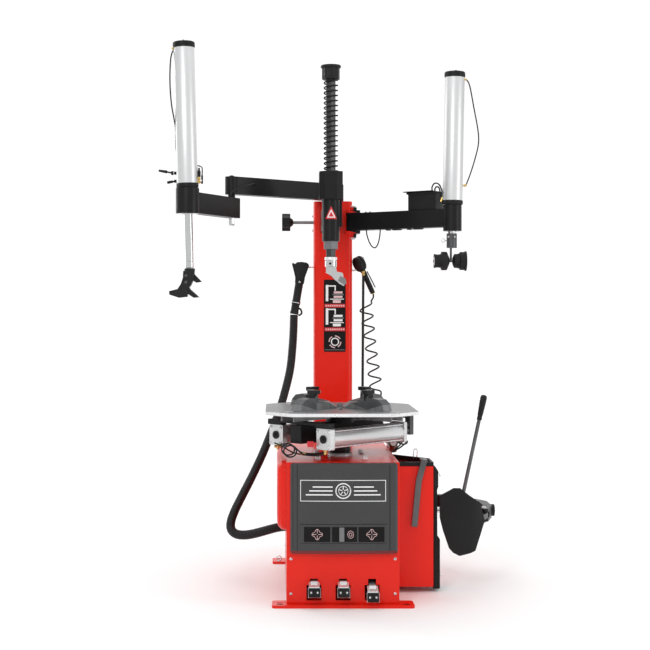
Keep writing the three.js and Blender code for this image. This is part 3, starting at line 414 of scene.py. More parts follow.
    def piece(self, name, body, slot, replaces=(), angle=40):
        """Makes the shape an object of its own, on a body and in place of the CAD parts it replaces."""
        mesh = bpy.data.meshes.new(name)
        bmesh.ops.scale(self.mesh, vec=(MM, MM, MM), verts=self.mesh.verts)
        self.mesh.to_mesh(mesh)
        self.mesh.free()
        for used in self.finishes:
            mesh.materials.append(used)
        mesh.shade_smooth()
        mesh.set_sharp_from_angle(angle=math.radians(angle))
        made = show(bpy.data.objects.new(name, mesh))
        if body:
            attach(made, body)
        if replaces:
            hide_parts(*replaces)
        return made


def frame_outline(x0, z0, x1, z1, corner=3.0):
    """A rectangle's outline with short cut corners."""
    return [(x0 + corner, z0), (x1 - corner, z0), (x1, z0 + corner), (x1, z1 - corner),
            (x1 - corner, z1), (x0 + corner, z1), (x0, z1 - corner), (x0, z0 + corner)]


# ---------------------------------------------------------------- finishes on the CAD parts
EDGE_ANGLE = 28


def dress(node, finish_used, *regions, bevel=1.2):
    """Gives a CAD part its finish and soft edges. A region is (test on a face's centre in mm, finish)."""
    part = frame["nodes"][node]
    mesh = part.data
    mesh.materials.clear()
    mesh.materials.append(finish_used)
    for _, used in regions:
        mesh.materials.append(used)
    for face in mesh.polygons:
        centre = face.center / MM
        face.material_index = 0
        for i, (inside, _) in enumerate(regions):
            if inside(centre):
                face.material_index = i + 1
    weld = part.modifiers.new("weld", "WELD")
    weld.merge_threshold = 1e-5
    flat = part.modifiers.new("flat", "DECIMATE")
    flat.decimate_type = "DISSOLVE"
    flat.angle_limit = math.radians(0.6)
    flat.delimit = {"MATERIAL"}
    if bevel:
        edge = part.modifiers.new("edge", "BEVEL")
        edge.width = bevel * MM
        edge.segments = 2
        edge.limit_method = "ANGLE"
        edge.angle_limit = math.radians(EDGE_ANGLE)
    mesh.shade_smooth()
    normals = part.modifiers.new("normals", "WEIGHTED_NORMAL")
    normals.keep_sharp = True
    normals.weight = 80


def evenly(path, step):
    """The same path with its points an equal step apart."""
    points, spare = [path[0]], step
    for a, b in zip(path, path[1:]):
        reach = (b - a).length
        while spare <= reach:
            points.append(a.lerp(b, spare / reach))
            spare += step
        spare -= reach
    return [*points, path[-1]]


def relaxed(path, rounds):
    """The same path with its kinks eased, its two ends held."""
    for _ in range(rounds):
        middle = [(a + 2 * b + c) / 4 for a, b, c in zip(path, path[1:], path[2:])]
        path = [path[0], *middle, path[-1]]
    return path


BLAST_ROUTE = [
    (-187.5, 650, 1187), (-190, 648, 1110), (-195, 640, 1030), (-206, 614, 930), (-228, 580, 836),
    (-258, 545, 736), (-296, 508, 636), (-338, 462, 536), (-387, 410, 437), (-428, 356, 362),
    (-460, 308, 302), (-477, 268, 256), (-474, 236, 226), (-450, 208, 211), (-412, 180, 212),
    (-370, 148, 224), (-320, 120, 242), (-270, 104, 258), (-235, 100, 263),
]
CHUCK_ROUTE = [(144, 628, 1373.6), (143.4, 628, 1270), (142.5, 628, 1160), (142, 628, 1050),
               (141, 628, 900), (140, 628, 760)]
CURLY_TOP = [(193.4, 650, 1286), (196, 658, 1268), (184, 680, 1256)]
CURLY_END = [(224, 660, 730), (240, 560, 655), (258, 440, 655), (266, 362, 682), (260, 341, 668),
             (260, 340, 642)]
CURLY = {"from": (159, 702, 1246), "to": (212, 700, 816), "outer": 36, "pitch": 66, "hose": 4}
COIL_STEPS, COIL_WAIST = 24, 0.12
BLAST_RADIUS, BLAST_RIB, BLAST_RIB_PITCH = 19.2, 1.3, 8.5


def hoses():
    """The inflation hose, the chuck's hose and the curly air hose, each along its own route."""
    path = smooth_path([Vector(p) for p in BLAST_ROUTE], 40)
    walked, radii = 0.0, []
    for before, after in zip([path[0], *path], path):
        walked += (after - before).length
        radii.append(BLAST_RADIUS + BLAST_RIB * math.cos(2 * math.pi * walked / BLAST_RIB_PITCH))
    body = Shape().sweep(path, radii, HOSE, 20)
    hose = body.piece("inflation_hose", None, "rubber", ["blast_hose"], 80)
    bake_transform(hose)

    path = smooth_path([Vector(p) for p in CHUCK_ROUTE], 8)
    hose = Shape().sweep(path, 6.2, HOSE, 18).piece("chuck_air_hose", "tower", "rubber", ["chuck_hose"], 80)

    start, end = Vector(CURLY["from"]), Vector(CURLY["to"])
    along = (end - start).normalized()
    side, other = cross_axes(along)
    mean = CURLY["outer"] - CURLY["hose"]
    reach = (end - start).length
    steps = round(reach / CURLY["pitch"]) * COIL_STEPS
    lead = Vector(CURLY_TOP[-1]) - start
    first = math.atan2(lead.dot(other), lead.dot(side))
    coil = []
    for i in range(steps + 1):
        out = turned(side, other, first - 2 * math.pi * i / COIL_STEPS)
        radius = mean * (1 - COIL_WAIST * math.sin(math.pi * i / steps) ** 2)
        coil.append(start + along * reach * i / steps + out * radius)
    lead = smooth_path([Vector(p) for p in CURLY_TOP] + coil[:1], 8)
    tail = smooth_path(coil[-1:] + [Vector(p) for p in CURLY_END], 8)
    path = relaxed(evenly([*lead[:-1], *coil, *tail[1:]], 4), 16)
    hose = Shape().sweep(path, CURLY["hose"], HOSE, 12)
    hose = hose.piece("curly_air_hose", None, "rubber", ["curly_hose"], 80)
    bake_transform(hose)


# ---------------------------------------------------------------- CAD parts that stay, with their finishes
# Where a CAD part changes its finish: heights, and places across or towards the front.
GEARBOX_TOP, MOTOR_FACE = 561, 92.5
PLATE_RIM = (778.5, 791.5)
JAW_SLIDE, CLAW_FROM = (793, 812), 846
TOWER_SIDE, SIDE_STUBS, SIDE_BRACKET, TOWER_HEAD = 93, (1390, 1430), 1540, 1731
ARM_FRONT_PLATE = 237
GUARD_COLLAR, BARE_SHAFT, SHOE_FACE = 1521, 1446, 150
ELBOW_NUT, KNOB_STEM, ROD_COLLAR = 1624, -190, 1562


def within(value, ends):
    """Whether a value lies between two ends."""
    return ends[0] < value < ends[1]


def cad_parts():
    """Finishes and soft edges of the CAD parts that are shown themselves."""
    dress("floor_frame", RED)
    dress("cabinet_shell", RED, bevel=2)
    dress("front_panel", RED)
    dress("front_cover", COVER, bevel=1.5)
    dress("left_side_cover", RED, bevel=3)
    dress("side_box", RED, bevel=2)
    dress("tool_tray", BLACK, bevel=1)
    dress("wheel_rest_pad", RUBBER, bevel=4)
    dress("tyre_lever", DARK_STEEL, bevel=1)
    dress("gearbox", GREY_PAINT, (lambda c: c.z > GEARBOX_TOP, STEEL))
    dress("drive_motor", GREY_PAINT, (lambda c: c.x > MOTOR_FACE, BRIGHT))
    dress("motor_pulley", STEEL)
    dress("gearbox_pulley", STEEL)
    dress("drive_belt", RUBBER, bevel=0)
    dress("air_tank", GREY_PAINT)
    dress("breaker_cylinder", ALUMINIUM)
    dress("turntable_plate", STEEL, (lambda c: within(c.z, PLATE_RIM), EDGE), bevel=0.8)
    dress("spindle_hub", BLACK)
    dress("cylinder_carrier", BLACK)
    for side in ("front_left", "front_right", "rear_left", "rear_right"):
        dress(f"jaw_{side}", DARK_STEEL, (lambda c: within(c.z, JAW_SLIDE), STEEL),
              (lambda c: c.z > CLAW_FROM, SHEEN_BLACK), bevel=0.8)
    for place in ("front", "rear"):
        dress(f"clamp_cylinder_{place}", ALUMINIUM, bevel=1.5)
    dress("tower_column", RED, (lambda c: abs(c.x) > TOWER_SIDE and within(c.z, SIDE_STUBS), WHITE),
          (lambda c: c.x > TOWER_SIDE and c.z > SIDE_BRACKET, SATIN), (lambda c: c.z > TOWER_HEAD, SATIN),
          bevel=2)
    dress("horizontal_arm", SATIN, (lambda c: c.y < ARM_FRONT_PLATE, GREY_PAINT), bevel=3)
    dress("hex_shaft", GREY_DARK, (lambda c: c.z < BARE_SHAFT, BRIGHT), bevel=0.8)
    dress("mount_head", CHROME, (lambda c: c.y < SHOE_FACE, STEEL), bevel=5)
    dress("left_inner_arm", SATIN, bevel=2)
    dress("left_outer_arm", SATIN, (lambda c: c.z < ELBOW_NUT, BRIGHT), bevel=2)
    dress("right_arm", SATIN, bevel=2)
    dress("control_box", MOULDED, bevel=2.5)
    dress("left_press_foot", SHEEN_BLACK, bevel=3)
    dress("left_valve_lever", BLACK, bevel=1)
    dress("lock_knob", MOULDED, (lambda c: c.x > KNOB_STEM, STEEL), bevel=4.5)
    dress("breaker_arm", SATIN, bevel=2)
    dress("breaker_blade", SATIN, bevel=1.5)
    dress("air_chuck", CHROME, bevel=0.6)
    dress("gun_trigger", SHEEN_BLACK, bevel=1)
    dress("shaft_guide", SATIN, (lambda c: c.z < GUARD_COLLAR, GREY_PAINT), bevel=3)
    dress("shaft_cap", MOULDED, bevel=1)
    for pedal in PEDALS:
        dress(pedal, BRIGHT, bevel=1)


# ---------------------------------------------------------------- cabinet
COVER_FROM, COVER_REACH, COVER_EDGE, COVER_BULGE = -206, 420, -291.3, 28
# Centres of the printed marks, across and up.
EMBLEM = (0, 476)
DIAL = (30, 298.5)
CROSSES = ((-106, 298.5), (116, 298.5))


def cover_face(x, lift=0.0):
    """Where the bowed face of the front cover is, at a place across it."""
    t = (x - COVER_FROM) / COVER_REACH
    return COVER_EDGE - COVER_BULGE * t * (1 - t) - lift


def polar(centre, radius, angle, wide=1.0):
    """A place round a centre on an upright face."""
    return centre[0] + radius * wide * math.cos(angle), centre[1] + radius * math.sin(angle)


def on_cover(shape, x0, x1, z0, z1, used, lift=0.5, depth=1.0):
    """A thin printed or moulded panel that follows the cover's bow."""
    steps = max(2, int((x1 - x0) / 12))
    across = [x0 + (x1 - x0) * i / steps for i in range(steps + 1)]
    outline = [(x, cover_face(x, lift)) for x in across]
    outline += [(x, cover_face(x, lift - depth)) for x in reversed(across)]
    shape.slab(outline, (0, 0, z0), RIGHT, BACK, z1 - z0, used)


def stroke(shape, points, width, used, lift=1.4):
    """A printed line on the cover."""
    for (x0, z0), (x1, z1) in zip(points, points[1:]):
        along = Vector((x1 - x0, 0, z1 - z0))
        side = Vector((-along.z, 0, along.x)).normalized() * width / 2
        grown = along.normalized() * width / 2
        ends = [(x0 - grown.x, z0 - grown.z), (x1 + grown.x, z1 + grown.z)]
        flat = [(ends[0][0] + side.x, ends[0][1] + side.z), (ends[1][0] + side.x, ends[1][1] + side.z),
                (ends[1][0] - side.x, ends[1][1] - side.z), (ends[0][0] - side.x, ends[0][1] - side.z)]
        face = [Vector((x, cover_face(x, lift), z)) for x, z in flat]
        back = [c + Vector((0, 0.8, 0)) for c in face]
        faces = [(0, 1, 2, 3), (4, 5, 6, 7), (0, 1, 5, 4), (1, 2, 6, 5), (2, 3, 7, 6), (3, 0, 4, 7)]
        shape.fill(face + back, faces, used)


def cover_trim():
    """The front cover's frame, wheel emblem and pictograms, a dark red band of painted shade and painted
    reflection on its lower lip, and the screws of the panel below it.
    """
    trim = Shape()
    for x in (-175, 171.5):
        on_cover(trim, x, x + 2.5, 433, 520, WHITE, 0.6)
    for z in (433, 517.5):
        on_cover(trim, -175, 174, z, z + 2.5, WHITE, 0.6)
    for x in (-206, -188, 190):
        on_cover(trim, x, x + 1.6, 226, 580, BLACK_AND_SHADE, 0.35)
    for turn in range(24):
        for radius, width in ((30, 4.5), (19, 2.2)):
            stroke(trim, [polar(EMBLEM, radius, math.pi * (turn + k) / 12) for k in (0, 1)], width, WHITE)
    for spoke in range(5):
        a = math.pi / 2 + 2 * math.pi * spoke / 5
        stroke(trim, [polar(EMBLEM, radius, a) for radius in (6, 19)], 3.4, WHITE)
    for side in (-1, 1):
        for row, reach in enumerate((150, 136, 122)):
            z = 460 + 16 * row
            stroke(trim, [(side * 46, z), (side * reach, z)], 5, WHITE)
    on_cover(trim, -175, 177, 262, 340, COVER, 1.0, 2)
    for z in (262, 338.6):
        on_cover(trim, -175, 177, z, z + 1.4, BLACK_AND_SHADE, 1.4)
    for x0, x1 in ((-160, -53), (-46, 56), (62, 168)):
        on_cover(trim, x0, x1, 268, 329, BLACK_AND_SHADE, 1.6, 2)
    on_cover(trim, -16, 4, 270, 327, GREY_PAINT, 3.2, 3)
    for centre in CROSSES:
        for turn in range(16):
            dash = [math.pi / 8 * (turn + k) + math.pi / 16 for k in (0, 0.8)]
            stroke(trim, [polar(centre, 18 + 4 * math.cos(4 * a), a) for a in dash], 1.7, PINK, 2.2)
        for quarter in range(4):
            bar = [polar(centre, radius, math.pi / 2 * quarter) for radius in (5, 20)]
            stroke(trim, bar, 1.9, PINK, 2.2)
    for turn in range(14):
        for radius in (15, 7):
            arc = [polar(DIAL, radius, 2 * math.pi / 14 * (turn + k), 0.8) for k in (0, 1)]
            stroke(trim, arc, 1.8, PINK, 2.2)
    trim.piece("front_cover_markings", "base", "dark_cover")
    # A dark red band on the cover's lower lip: painted shade and a painted reflection of the red panel.
    band = Shape()
    on_cover(band, -212, 220, 220, 231, PAINTED_RED_SHADE, 0.6, 1.2)
    for x in (-213, 213):
        for z in (195, 52):
            band.screw((x, -276.2, z), FRONT, 6.5, CHROME)
    band.piece("front_panel_screws_and_lip_shade", "base", "bare_steel")


def cabinet_top():
    """Flange ring round the spindle, four pairs of bolts, and the cabinet's own small fasteners."""
    low, high = span("cabinet_shell")
    fittings = Shape()
    fittings.lathe((0, 0, high.z), UP, [(52, 0), (52, 7), (48, 9.5), (47, 9.5), (47, 0.5)], DIE_CAST, 56)
    for x in (-98, 98):
        for y in (-150, 80):
            for step in (0, 34):
                fittings.bolt((x, y + step, high.z), UP, 12, EDGE)
    for z in (120, 300, 480):
        fittings.screw((low.x - 0.2, 430, z), LEFT, 6, CHROME)
        fittings.screw((high.x + 0.2, 430, z), RIGHT, 6, CHROME)
    for x in (-160, 0, 160):
        for z in (80, 540):
            fittings.screw((x, high.y + 0.2, z), BACK, 6, CHROME)
    fittings.piece("cabinet_fasteners", "base", "bare_steel")
    vent = Shape()
    # The louvre slats are dark red: painted shade in their openings.
    for row in range(7):
        z = 300 + 22 * row
        vent.slab(frame_outline(-60, z, 60, z + 7, 2), (0, high.y + 0.2, 0), LEFT, UP, 2.4, PAINTED_RED_SHADE, 0.8)
    vent.block((-130, high.y, 150), (-40, high.y + 7, 220), MOULDED, 2.5)
    vent.lathe((-85, high.y + 6, 185), BACK, [(14, 0), (14, 5), (11, 7), (6, 7), (6, 11), (5, 12)], MOULDED,
               28)
    vent.piece("rear_louvres_and_switch", "base", "black_plastic")
    cover = Shape()
    low, high = span("left_side_cover")
    for z in (330, 400, 470, 540):
        for y in (-190, 470):
            cover.screw((low.x + 41, y, z), LEFT, 5, CHROME)
    cover.piece("side_cover_screws", "base", "bare_steel")


def tray_and_box():
    """Wire hook on the tray, a screwed edge on the box and the mat in the tray."""
    hook = Shape()
    hook.wire([(330, 120, 556), (330, 120, 584), (334, 120, 598), (342, 120, 601), (347, 120, 592),
               (344, 120, 556)],
              2.2, CHROME)
    hook.piece("wire_hook", "base", "chrome")
    mat = Shape()
    for row in range(9):
        y = 12 + 24 * row
        mat.block((240, y, 485.2), (392, y + 5, 487.6), RUBBER, 0.8)
    mat.piece("tray_mat", "base", "rubber")
    bolts = Shape()
    for z in (70, 500):
        for y in (20, 100):
            bolts.bolt((432.2, y, z), RIGHT, 7, BRIGHT)
    bolts.piece("wheel_rest_bolts", "base", "bare_steel")


def floor_fixings():
    """The slots in the four feet, drawn as thin black plates of painted shade, and the nut and wire ring on
    the rear left one.
    """
    parts = Shape()
    # Each slot is a thin black plate on the foot: painted shade where the slot goes through.
    for x in (-258, 258):
        for y in (-290, 660):
            slot = frame_outline(x - 12.5, y - 6.5, x + 12.5, y + 6.5, 5)
            parts.slab(slot, (0, 0, 11.6), RIGHT, BACK, 0.8, BLACK_AND_SHADE)
    parts.lathe((-260, 606, 11), UP, [(9, 0), (9, 5), (7, 6), (4, 6), (4, 1)], BRIGHT, 24)
    parts.wire([(-260, 606, 14), (-272, 606, 26), (-260, 606, 38), (-248, 606, 26), (-260, 606, 14)], 2.2,
               CHROME)
    parts.piece("floor_fixings", "base", "bare_steel")


PEDALS = {
    "clamp_pedal": ("clamp_pedal_press", "left_pedal"),
    "breaker_pedal": ("breaker_pedal_press", "middle_pedal"),
    "rotation_pedal": ("rotation_pedal_rock", "right_pedal"),
}
ROCKER_LEAN = math.radians(6)


def pedals():
    """Rubber pad with ribs and two bolts on each pedal, laid on the pad that the CAD part has."""
    for node, (joint, body) in PEDALS.items():
        hinge = pivot(joint)
        lean = Matrix.Rotation(ROCKER_LEAN if node == "rotation_pedal" else 0, 4, "X")

        def place(y, z, x=0.0):
            """A place given from the hinge, on the pedal as it leans."""
            return hinge + lean @ Vector((x, y, z))

        out = (lean @ Vector((0, -0.93, 0.37))).normalized()
        down = (place(-194, -46) - place(-180, -11)).normalized()
        outward = math.copysign(1, out.dot(RIGHT.cross(down)))
        pad = Shape()
        face = place(-187, -28.5) + out * 4.6
        pad.slab(frame_outline(-24, -19, 24, 19, 3), face, RIGHT, down, 3 * outward, RUBBER, 0.8)
        for row in range(5):
            z = -14 + 7 * row
            rib = frame_outline(-21, z - 1.6, 21, z + 1.6, 0.8)
            pad.slab(rib, face + out * 2.6, RIGHT, down, 1.6 * outward, RUBBER)
        for x in (-13, 13):
            pad.bolt(face + out * 3 + Vector((x, 0, 0)), out, 4.2, BRIGHT, head="socket")
        for x in (-16.5, 16.5):
            pad.bolt(place(0, 0, x), (math.copysign(1, x), 0, 0), 7, CHROME, washer=False)
        pad.piece(f"{node}_pad", body, "rubber")


# ---------------------------------------------------------------- turntable
DIAGONAL = (Vector((1, 1, 0)).normalized(), Vector((1, -1, 0)).normalized())
CLAMP = {"offset": 137, "from": -250, "to": 240, "z": 683}


def clamp_fittings():
    """Screws and plug on each clamp cylinder's ends, its tie rods, air fittings and short hoses."""
    along, across = DIAGONAL
    for place, side in (("front", 1), ("rear", -1)):
        parts = Shape()
        centre = across * side * CLAMP["offset"] + UP * CLAMP["z"]
        for reach, out in ((CLAMP["from"], -along), (CLAMP["to"], along)):
            face = centre + along * reach
            for a in (-1, 1):
                for b in (-1, 1):
                    parts.bolt(face + across * a * 30 + UP * b * 32, out, 6.5, BRIGHT, head="socket")
            parts.lathe(face, out, [(17, 0), (17, 5), (13, 7), (7, 7), (7, 12), (5, 13)], MOULDED, 32)
        for a in (-1, 1):
            for b in (-1, 1):
                shift = across * a * 33 + UP * b * 33
                parts.rod(centre + along * (CLAMP["from"] + 24) + shift,
                          centre + along * (CLAMP["to"] - 24) + shift, 3.2, BRIGHT, 12)
        parts.piece(f"clamp_cylinder_{place}_fittings", "front_left_slide", "bare_steel")
    lines = Shape()
    front = across * CLAMP["offset"] + along * (CLAMP["from"] + 12) + UP * CLAMP["z"]
    rear = -across * CLAMP["offset"] + along * (CLAMP["from"] + 12) + UP * CLAMP["z"]
    for start in (front, rear):
        port = start - UP * 44
        lines.rod(port, port - UP * 12, 7, BRASS, 6)
        lines.rod(port - UP * 10, port - UP * 20 - along * 4, 5.5, BRASS, 16)
    lines.block((-146, -262, 650), (-119, -246, 674), SIGN_RED, 3)
    lines.piece("clamp_air_fittings", "front_left_slide", "bare_steel")
    hoses_low = Shape()
    loop = [(-70, -268, 622), (-110, -262, 616), (-160, -240, 618), (-190, -226, 640), (-214, -214, 652),
            (-238, -202, 640), (-240, -200, 618), (-220, -208, 604), (-196, -220, 612), (-190, -222, 634),
            (-208, -208, 650), (-236, -170, 646), (-262, -110, 632), (-262, -78, 626)]
    hoses_low.wire(loop, 3.2, HOSE)
    hoses_low.wire([(x - 8, y + 16, z + 6) for x, y, z in loop], 3.2, HOSE)
    hoses_low.wire([(-80, -250, 625), (-140, -200, 612), (-200, -160, 616), (-250, -120, 640),
                    (-280, -92, 650)], 3, BLACK_AND_SHADE)
    hoses_low.lathe((-252, -132, 640), (-1, -0.2, 0), [(8, 0), (8, 16), (6, 18), (6, 30)], BRASS, 6)
    hoses_low.lathe((-150, -232, 618), (-1, 0.3, 0), [(7, 0), (7, 14), (5, 16), (5, 22)], BRASS, 6)
    hoses_low.piece("clamp_air_hoses", "front_left_slide", "rubber")


def spindle_trim():
    """Centre bolt and marks on the turntable, and the nuts of the hub below it."""
    parts = Shape()
    _, high = span("turntable_plate")
    parts.lathe((0, 0, high.z), UP, [(25, 0), (25, 2.2), (23, 4), (15, 4), (15, 1)], DARK_STEEL, 48)
    parts.bolt((0, 0, high.z + 1), UP, 16, DARK_STEEL, head="socket")
    for i in range(4):
        out = turned(RIGHT, BACK, math.pi / 2 * i)
        parts.bolt(out * 120 + UP * high.z, UP, 8, DARK_STEEL, head="socket")
    parts.piece("turntable_centre_bolts", "turntable", "bare_steel")
    hub = Shape()
    for i in range(8):
        out = turned(RIGHT, BACK, math.pi / 4 * i + 0.2)
        hub.bolt(out * 38 + UP * 662, UP, 7, BRIGHT)
    hub.lathe((0, 0, 606), UP, [(46.6, 0), (46.6, 4), (47.6, 8), (47.6, 16), (46.6, 18)], SHEEN_BLACK, 56)
    hub.piece("spindle_hub_bolts", "turntable", "bare_steel")


# ---------------------------------------------------------------- tower
DECAL = {"x": (-45, 59), "z": (1010, 1355)}
WHEEL_SIGN = (8, 1058)
TOWER_FACE = 620
SHAFT_AT = Vector((-30, 190, 0))
GUARD_RADIUS = 39
SPRING = {"radius": 29.2, "wire": 3.5, "turns": 18, "steps": 24}


def tower_trim():
    """The instruction plate with its pictograms, the tilt pin's nuts and the bolts on the ears."""
    plate = Shape()
    x0, x1 = DECAL["x"]
    z0, z1 = DECAL["z"]

    def patch(left, right, bottom, top, used, lift=1.4):
        """A printed rectangle on the plate."""
        outline = [(left, bottom), (right, bottom), (right, top), (left, top)]
        plate.slab(outline, (0, TOWER_FACE - lift, 0), RIGHT, UP, 0.8, used)

    plate.slab(frame_outline(x0, z0, x1, z1, 4), (0, TOWER_FACE - 0.2, 0), RIGHT, UP, 0.8, BLACK_AND_SHADE)
    for bottom in (1109, 1222):
        patch(x0 + 3, x1 - 3, bottom, bottom + 17, SIGN_RED, 1.2)
        for i in range(9):
            patch(x0 + 8 + 10.4 * i, x0 + 14.5 + 10.4 * i, bottom + 5, bottom + 12, PINK, 1.6)
    for bottom, tint in ((1252, PINK), (1140, WHITE)):
        patch(-36, -24, bottom, bottom + 78, WHITE)
        patch(-24, 12, bottom + 70, bottom + 76, WHITE)
        patch(6, 12, bottom + 50, bottom + 70, WHITE)
        patch(-16, 50, bottom + 8, bottom + 12, WHITE)
        patch(-2, 36, bottom - 8, bottom + 5, tint)
        patch(2, 44, bottom + 16, bottom + 26, tint)
        patch(-4, 50, bottom + 29, bottom + 34, GREY_PAINT)
        patch(2, 44, bottom + 37, bottom + 47, tint)
    for i in range(12):
        for radius, tint in ((15, WHITE), (26, PINK)):
            if tint == WHITE or i % 3:
                corners = ((radius, i), (radius + 5, i), (radius + 5, i + 1), (radius, i + 1))
                ends = [polar(WHEEL_SIGN, r, math.pi * k / 6) for r, k in corners]
                plate.slab(ends, (0, TOWER_FACE - 1.4, 0), RIGHT, UP, 0.8, tint)
    patch(x0 + 4, x1 - 4, 1018, 1021, GREY_PAINT)
    plate.piece("instruction_plate", "tower", "black_plastic")

    nuts = Shape()
    tilt = pivot("tower_tilt")
    for side in (-1, 1):
        nuts.bolt((side * 150, tilt.y, tilt.z), (side, 0, 0), 18, BRIGHT)
    nuts.piece("tilt_pin_nuts", "base", "bare_steel")

    bolts = Shape()
    right = pivot("right_arm_swing")
    left = pivot("left_inner_swing")
    bolts.bolt((right.x, right.y, 1696), UP, 13, BRIGHT, washer=False)
    bolts.bolt((right.x, right.y, 1552), DOWN, 13, BRIGHT, washer=False)
    bolts.bolt((left.x, left.y, 1822.5), UP, 14, BRIGHT)
    for z in (1595, 1665):
        bolts.bolt((93, 700, z), RIGHT, 8, BRIGHT)
        bolts.bolt((-93, 715, z), LEFT, 8, BRIGHT)
    bolts.wire([(-92, 676, 1416), (-130, 676, 1416), (-146, 670, 1418), (-152, 660, 1428)], 4, WHITE)
    bolts.piece("tower_bolts", "tower", "bare_steel")


def arm_trim():
    """The arm's front plate bolt, the guard's warning sign, the spring and the shaft's trim."""
    arm_low, arm_high = span("horizontal_arm")
    parts = Shape()
    parts.lathe((2, arm_low.y, 1632), FRONT, [(14, 0), (14, 6), (12, 8), (6, 8), (6, 3)], BLACK_AND_SHADE, 36)
    for z in (1590, 1670):
        parts.screw((-48, arm_low.y, z), FRONT, 4.5, CHROME)
        parts.screw((8, arm_low.y, z), FRONT, 4.5, CHROME)
    parts.slab(frame_outline(-56, 1583, 11, 1677, 6), (0, arm_high.y, 0), LEFT, UP, 3, MOULDED, 1)
    parts.piece("arm_end_parts", "arm", "black_parts")

    sign = Shape()

    def on_guard(u, z, lift):
        """Where a place on a flat sheet comes when the sheet is laid on the round guard."""
        r = GUARD_RADIUS + lift
        return SHAFT_AT + Vector((r * math.sin(u / GUARD_RADIUS), -r * math.cos(u / GUARD_RADIUS), z))

    def wrap(half, foot, tip, lift, used):
        """An upright triangle laid on the guard in level strips."""
        rows, across = 8, 6
        levels = []
        for i in range(rows + 1):
            levels.append((max(half * (1 - i / rows), 0.3), foot + (tip - foot) * i / rows))
        faces = [(k, k + 1, across + 2 + k, across + 1 + k) for k in range(across)]
        for strip in zip(levels, levels[1:]):
            corners = [on_guard(w * (2 * k / across - 1), z, lift) for w,
                       z in strip for k in range(across + 1)]
            sign.fill(corners, faces, used)

    wrap(27, 1614, 1671, 0.5, SIGN_RED)
    wrap(19, 1620, 1657, 0.9, WHITE)
    wrap(12, 1624, 1647, 1.3, SIGN_RED)
    sign.piece("guard_warning_sign", "arm", "black_plastic")

    low, high = span("shaft_spring")
    reach = high.z - low.z - 2 * SPRING["wire"]
    steps = SPRING["turns"] * SPRING["steps"]
    coil = []
    for i in range(steps + 1):
        out = turned(RIGHT, BACK, 2 * math.pi * i / SPRING["steps"])
        coil.append(SHAFT_AT + out * SPRING["radius"] + UP * (low.z + SPRING["wire"] + reach * i / steps))
    spring = Shape().sweep(coil, SPRING["wire"], BLACK, 10)
    spring = spring.piece("return_spring", "arm", "black_parts", ["shaft_spring"], 80)
    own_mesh(spring)

    rings = Shape()
    rings.lathe(SHAFT_AT + UP * 1433, UP, [(26, 0), (28, 1.5), (28, 11), (26.5, 13), (24, 13)], EDGE, 64)
    rings.lathe(SHAFT_AT + UP * 1403.5, UP, [(25, 0), (26.4, 1.5), (26.4, 26), (25, 27.5)], CHROME, 64)
    for a in (-0.15, 1.9):
        out = Vector((math.sin(a), -math.cos(a), 0))
        screw = [(5.5, 0), (5.5, 1.6), (3.4, 1.6), (3.4, 0.5)]
        rings.lathe(SHAFT_AT + UP * 1417 + out * 26, out, screw, BLACK_AND_SHADE, 24)
    rings.piece("shaft_rings", "shaft", "chrome")


# ---------------------------------------------------------------- assist arms
LEFT_SLOPE, RIGHT_SLOPE = math.tan(math.radians(1.5)), math.tan(math.radians(1.1))
LEFT_LEAN = Vector((-LEFT_SLOPE, 0, 1)).normalized()
RIGHT_LEAN = Vector((RIGHT_SLOPE, 0, 1)).normalized()
LEFT_FOOT = Vector((-650, -69, 1732))
RIGHT_FOOT = Vector((522, 271, 1687))
LEFT_PIVOT, LEFT_ELBOW = Vector((30, 640, 0)), Vector((-474, 261, 0))
RIGHT_PIVOT, RIGHT_END = Vector((91, 560, 0)), Vector((522, 271, 0))
ROD_TOP, ROD_BOTTOM = 2100, 1379.2


def front_of(along):
    """The level direction square to an arm, on the side of the machine's front."""
    out = Vector((along.y, -along.x, 0))
    return -out if out.y > 0 else out


def assist_tube(node, name, body, foot, lean, length, tube):
    """Extruded aluminium cylinder tube with its ribbed bands, cap and tie screws."""
    tube.lathe(foot, lean, [(44, 4), (45, 8), (45, length - 8), (44, length - 6)], ALUMINIUM, 72)
    tube.lathe(foot, lean, [(22, 0), (46, 0), (47, 1.5), (47, 16), (46, 18), (45.2, 18)], BLACK, 72)
    band = [(45.2, length - 26), (46.2, length - 25), (46.2, length - 3), (43, length - 0.5), (20, length)]
    tube.lathe(foot, lean, band, BLACK, 72)
    u, v = cross_axes(lean)
    for i in range(16):
        out = turned(u, v, 2 * math.pi * i / 16) * 46.2
        for low, high in ((3, 14), (length - 22, length - 6)):
            tube.rod(foot + lean * low + out, foot + lean * high + out, 1.1, BLACK, 8, 0.3)
    for i in range(4):
        out = turned(u, v, math.pi / 4 + math.pi / 2 * i) * 30
        tube.bolt(foot + lean * (length - 0.6) + out, lean, 5, DARK_STEEL, False, "socket")
    tube.piece(name, body, "aluminium", [node])


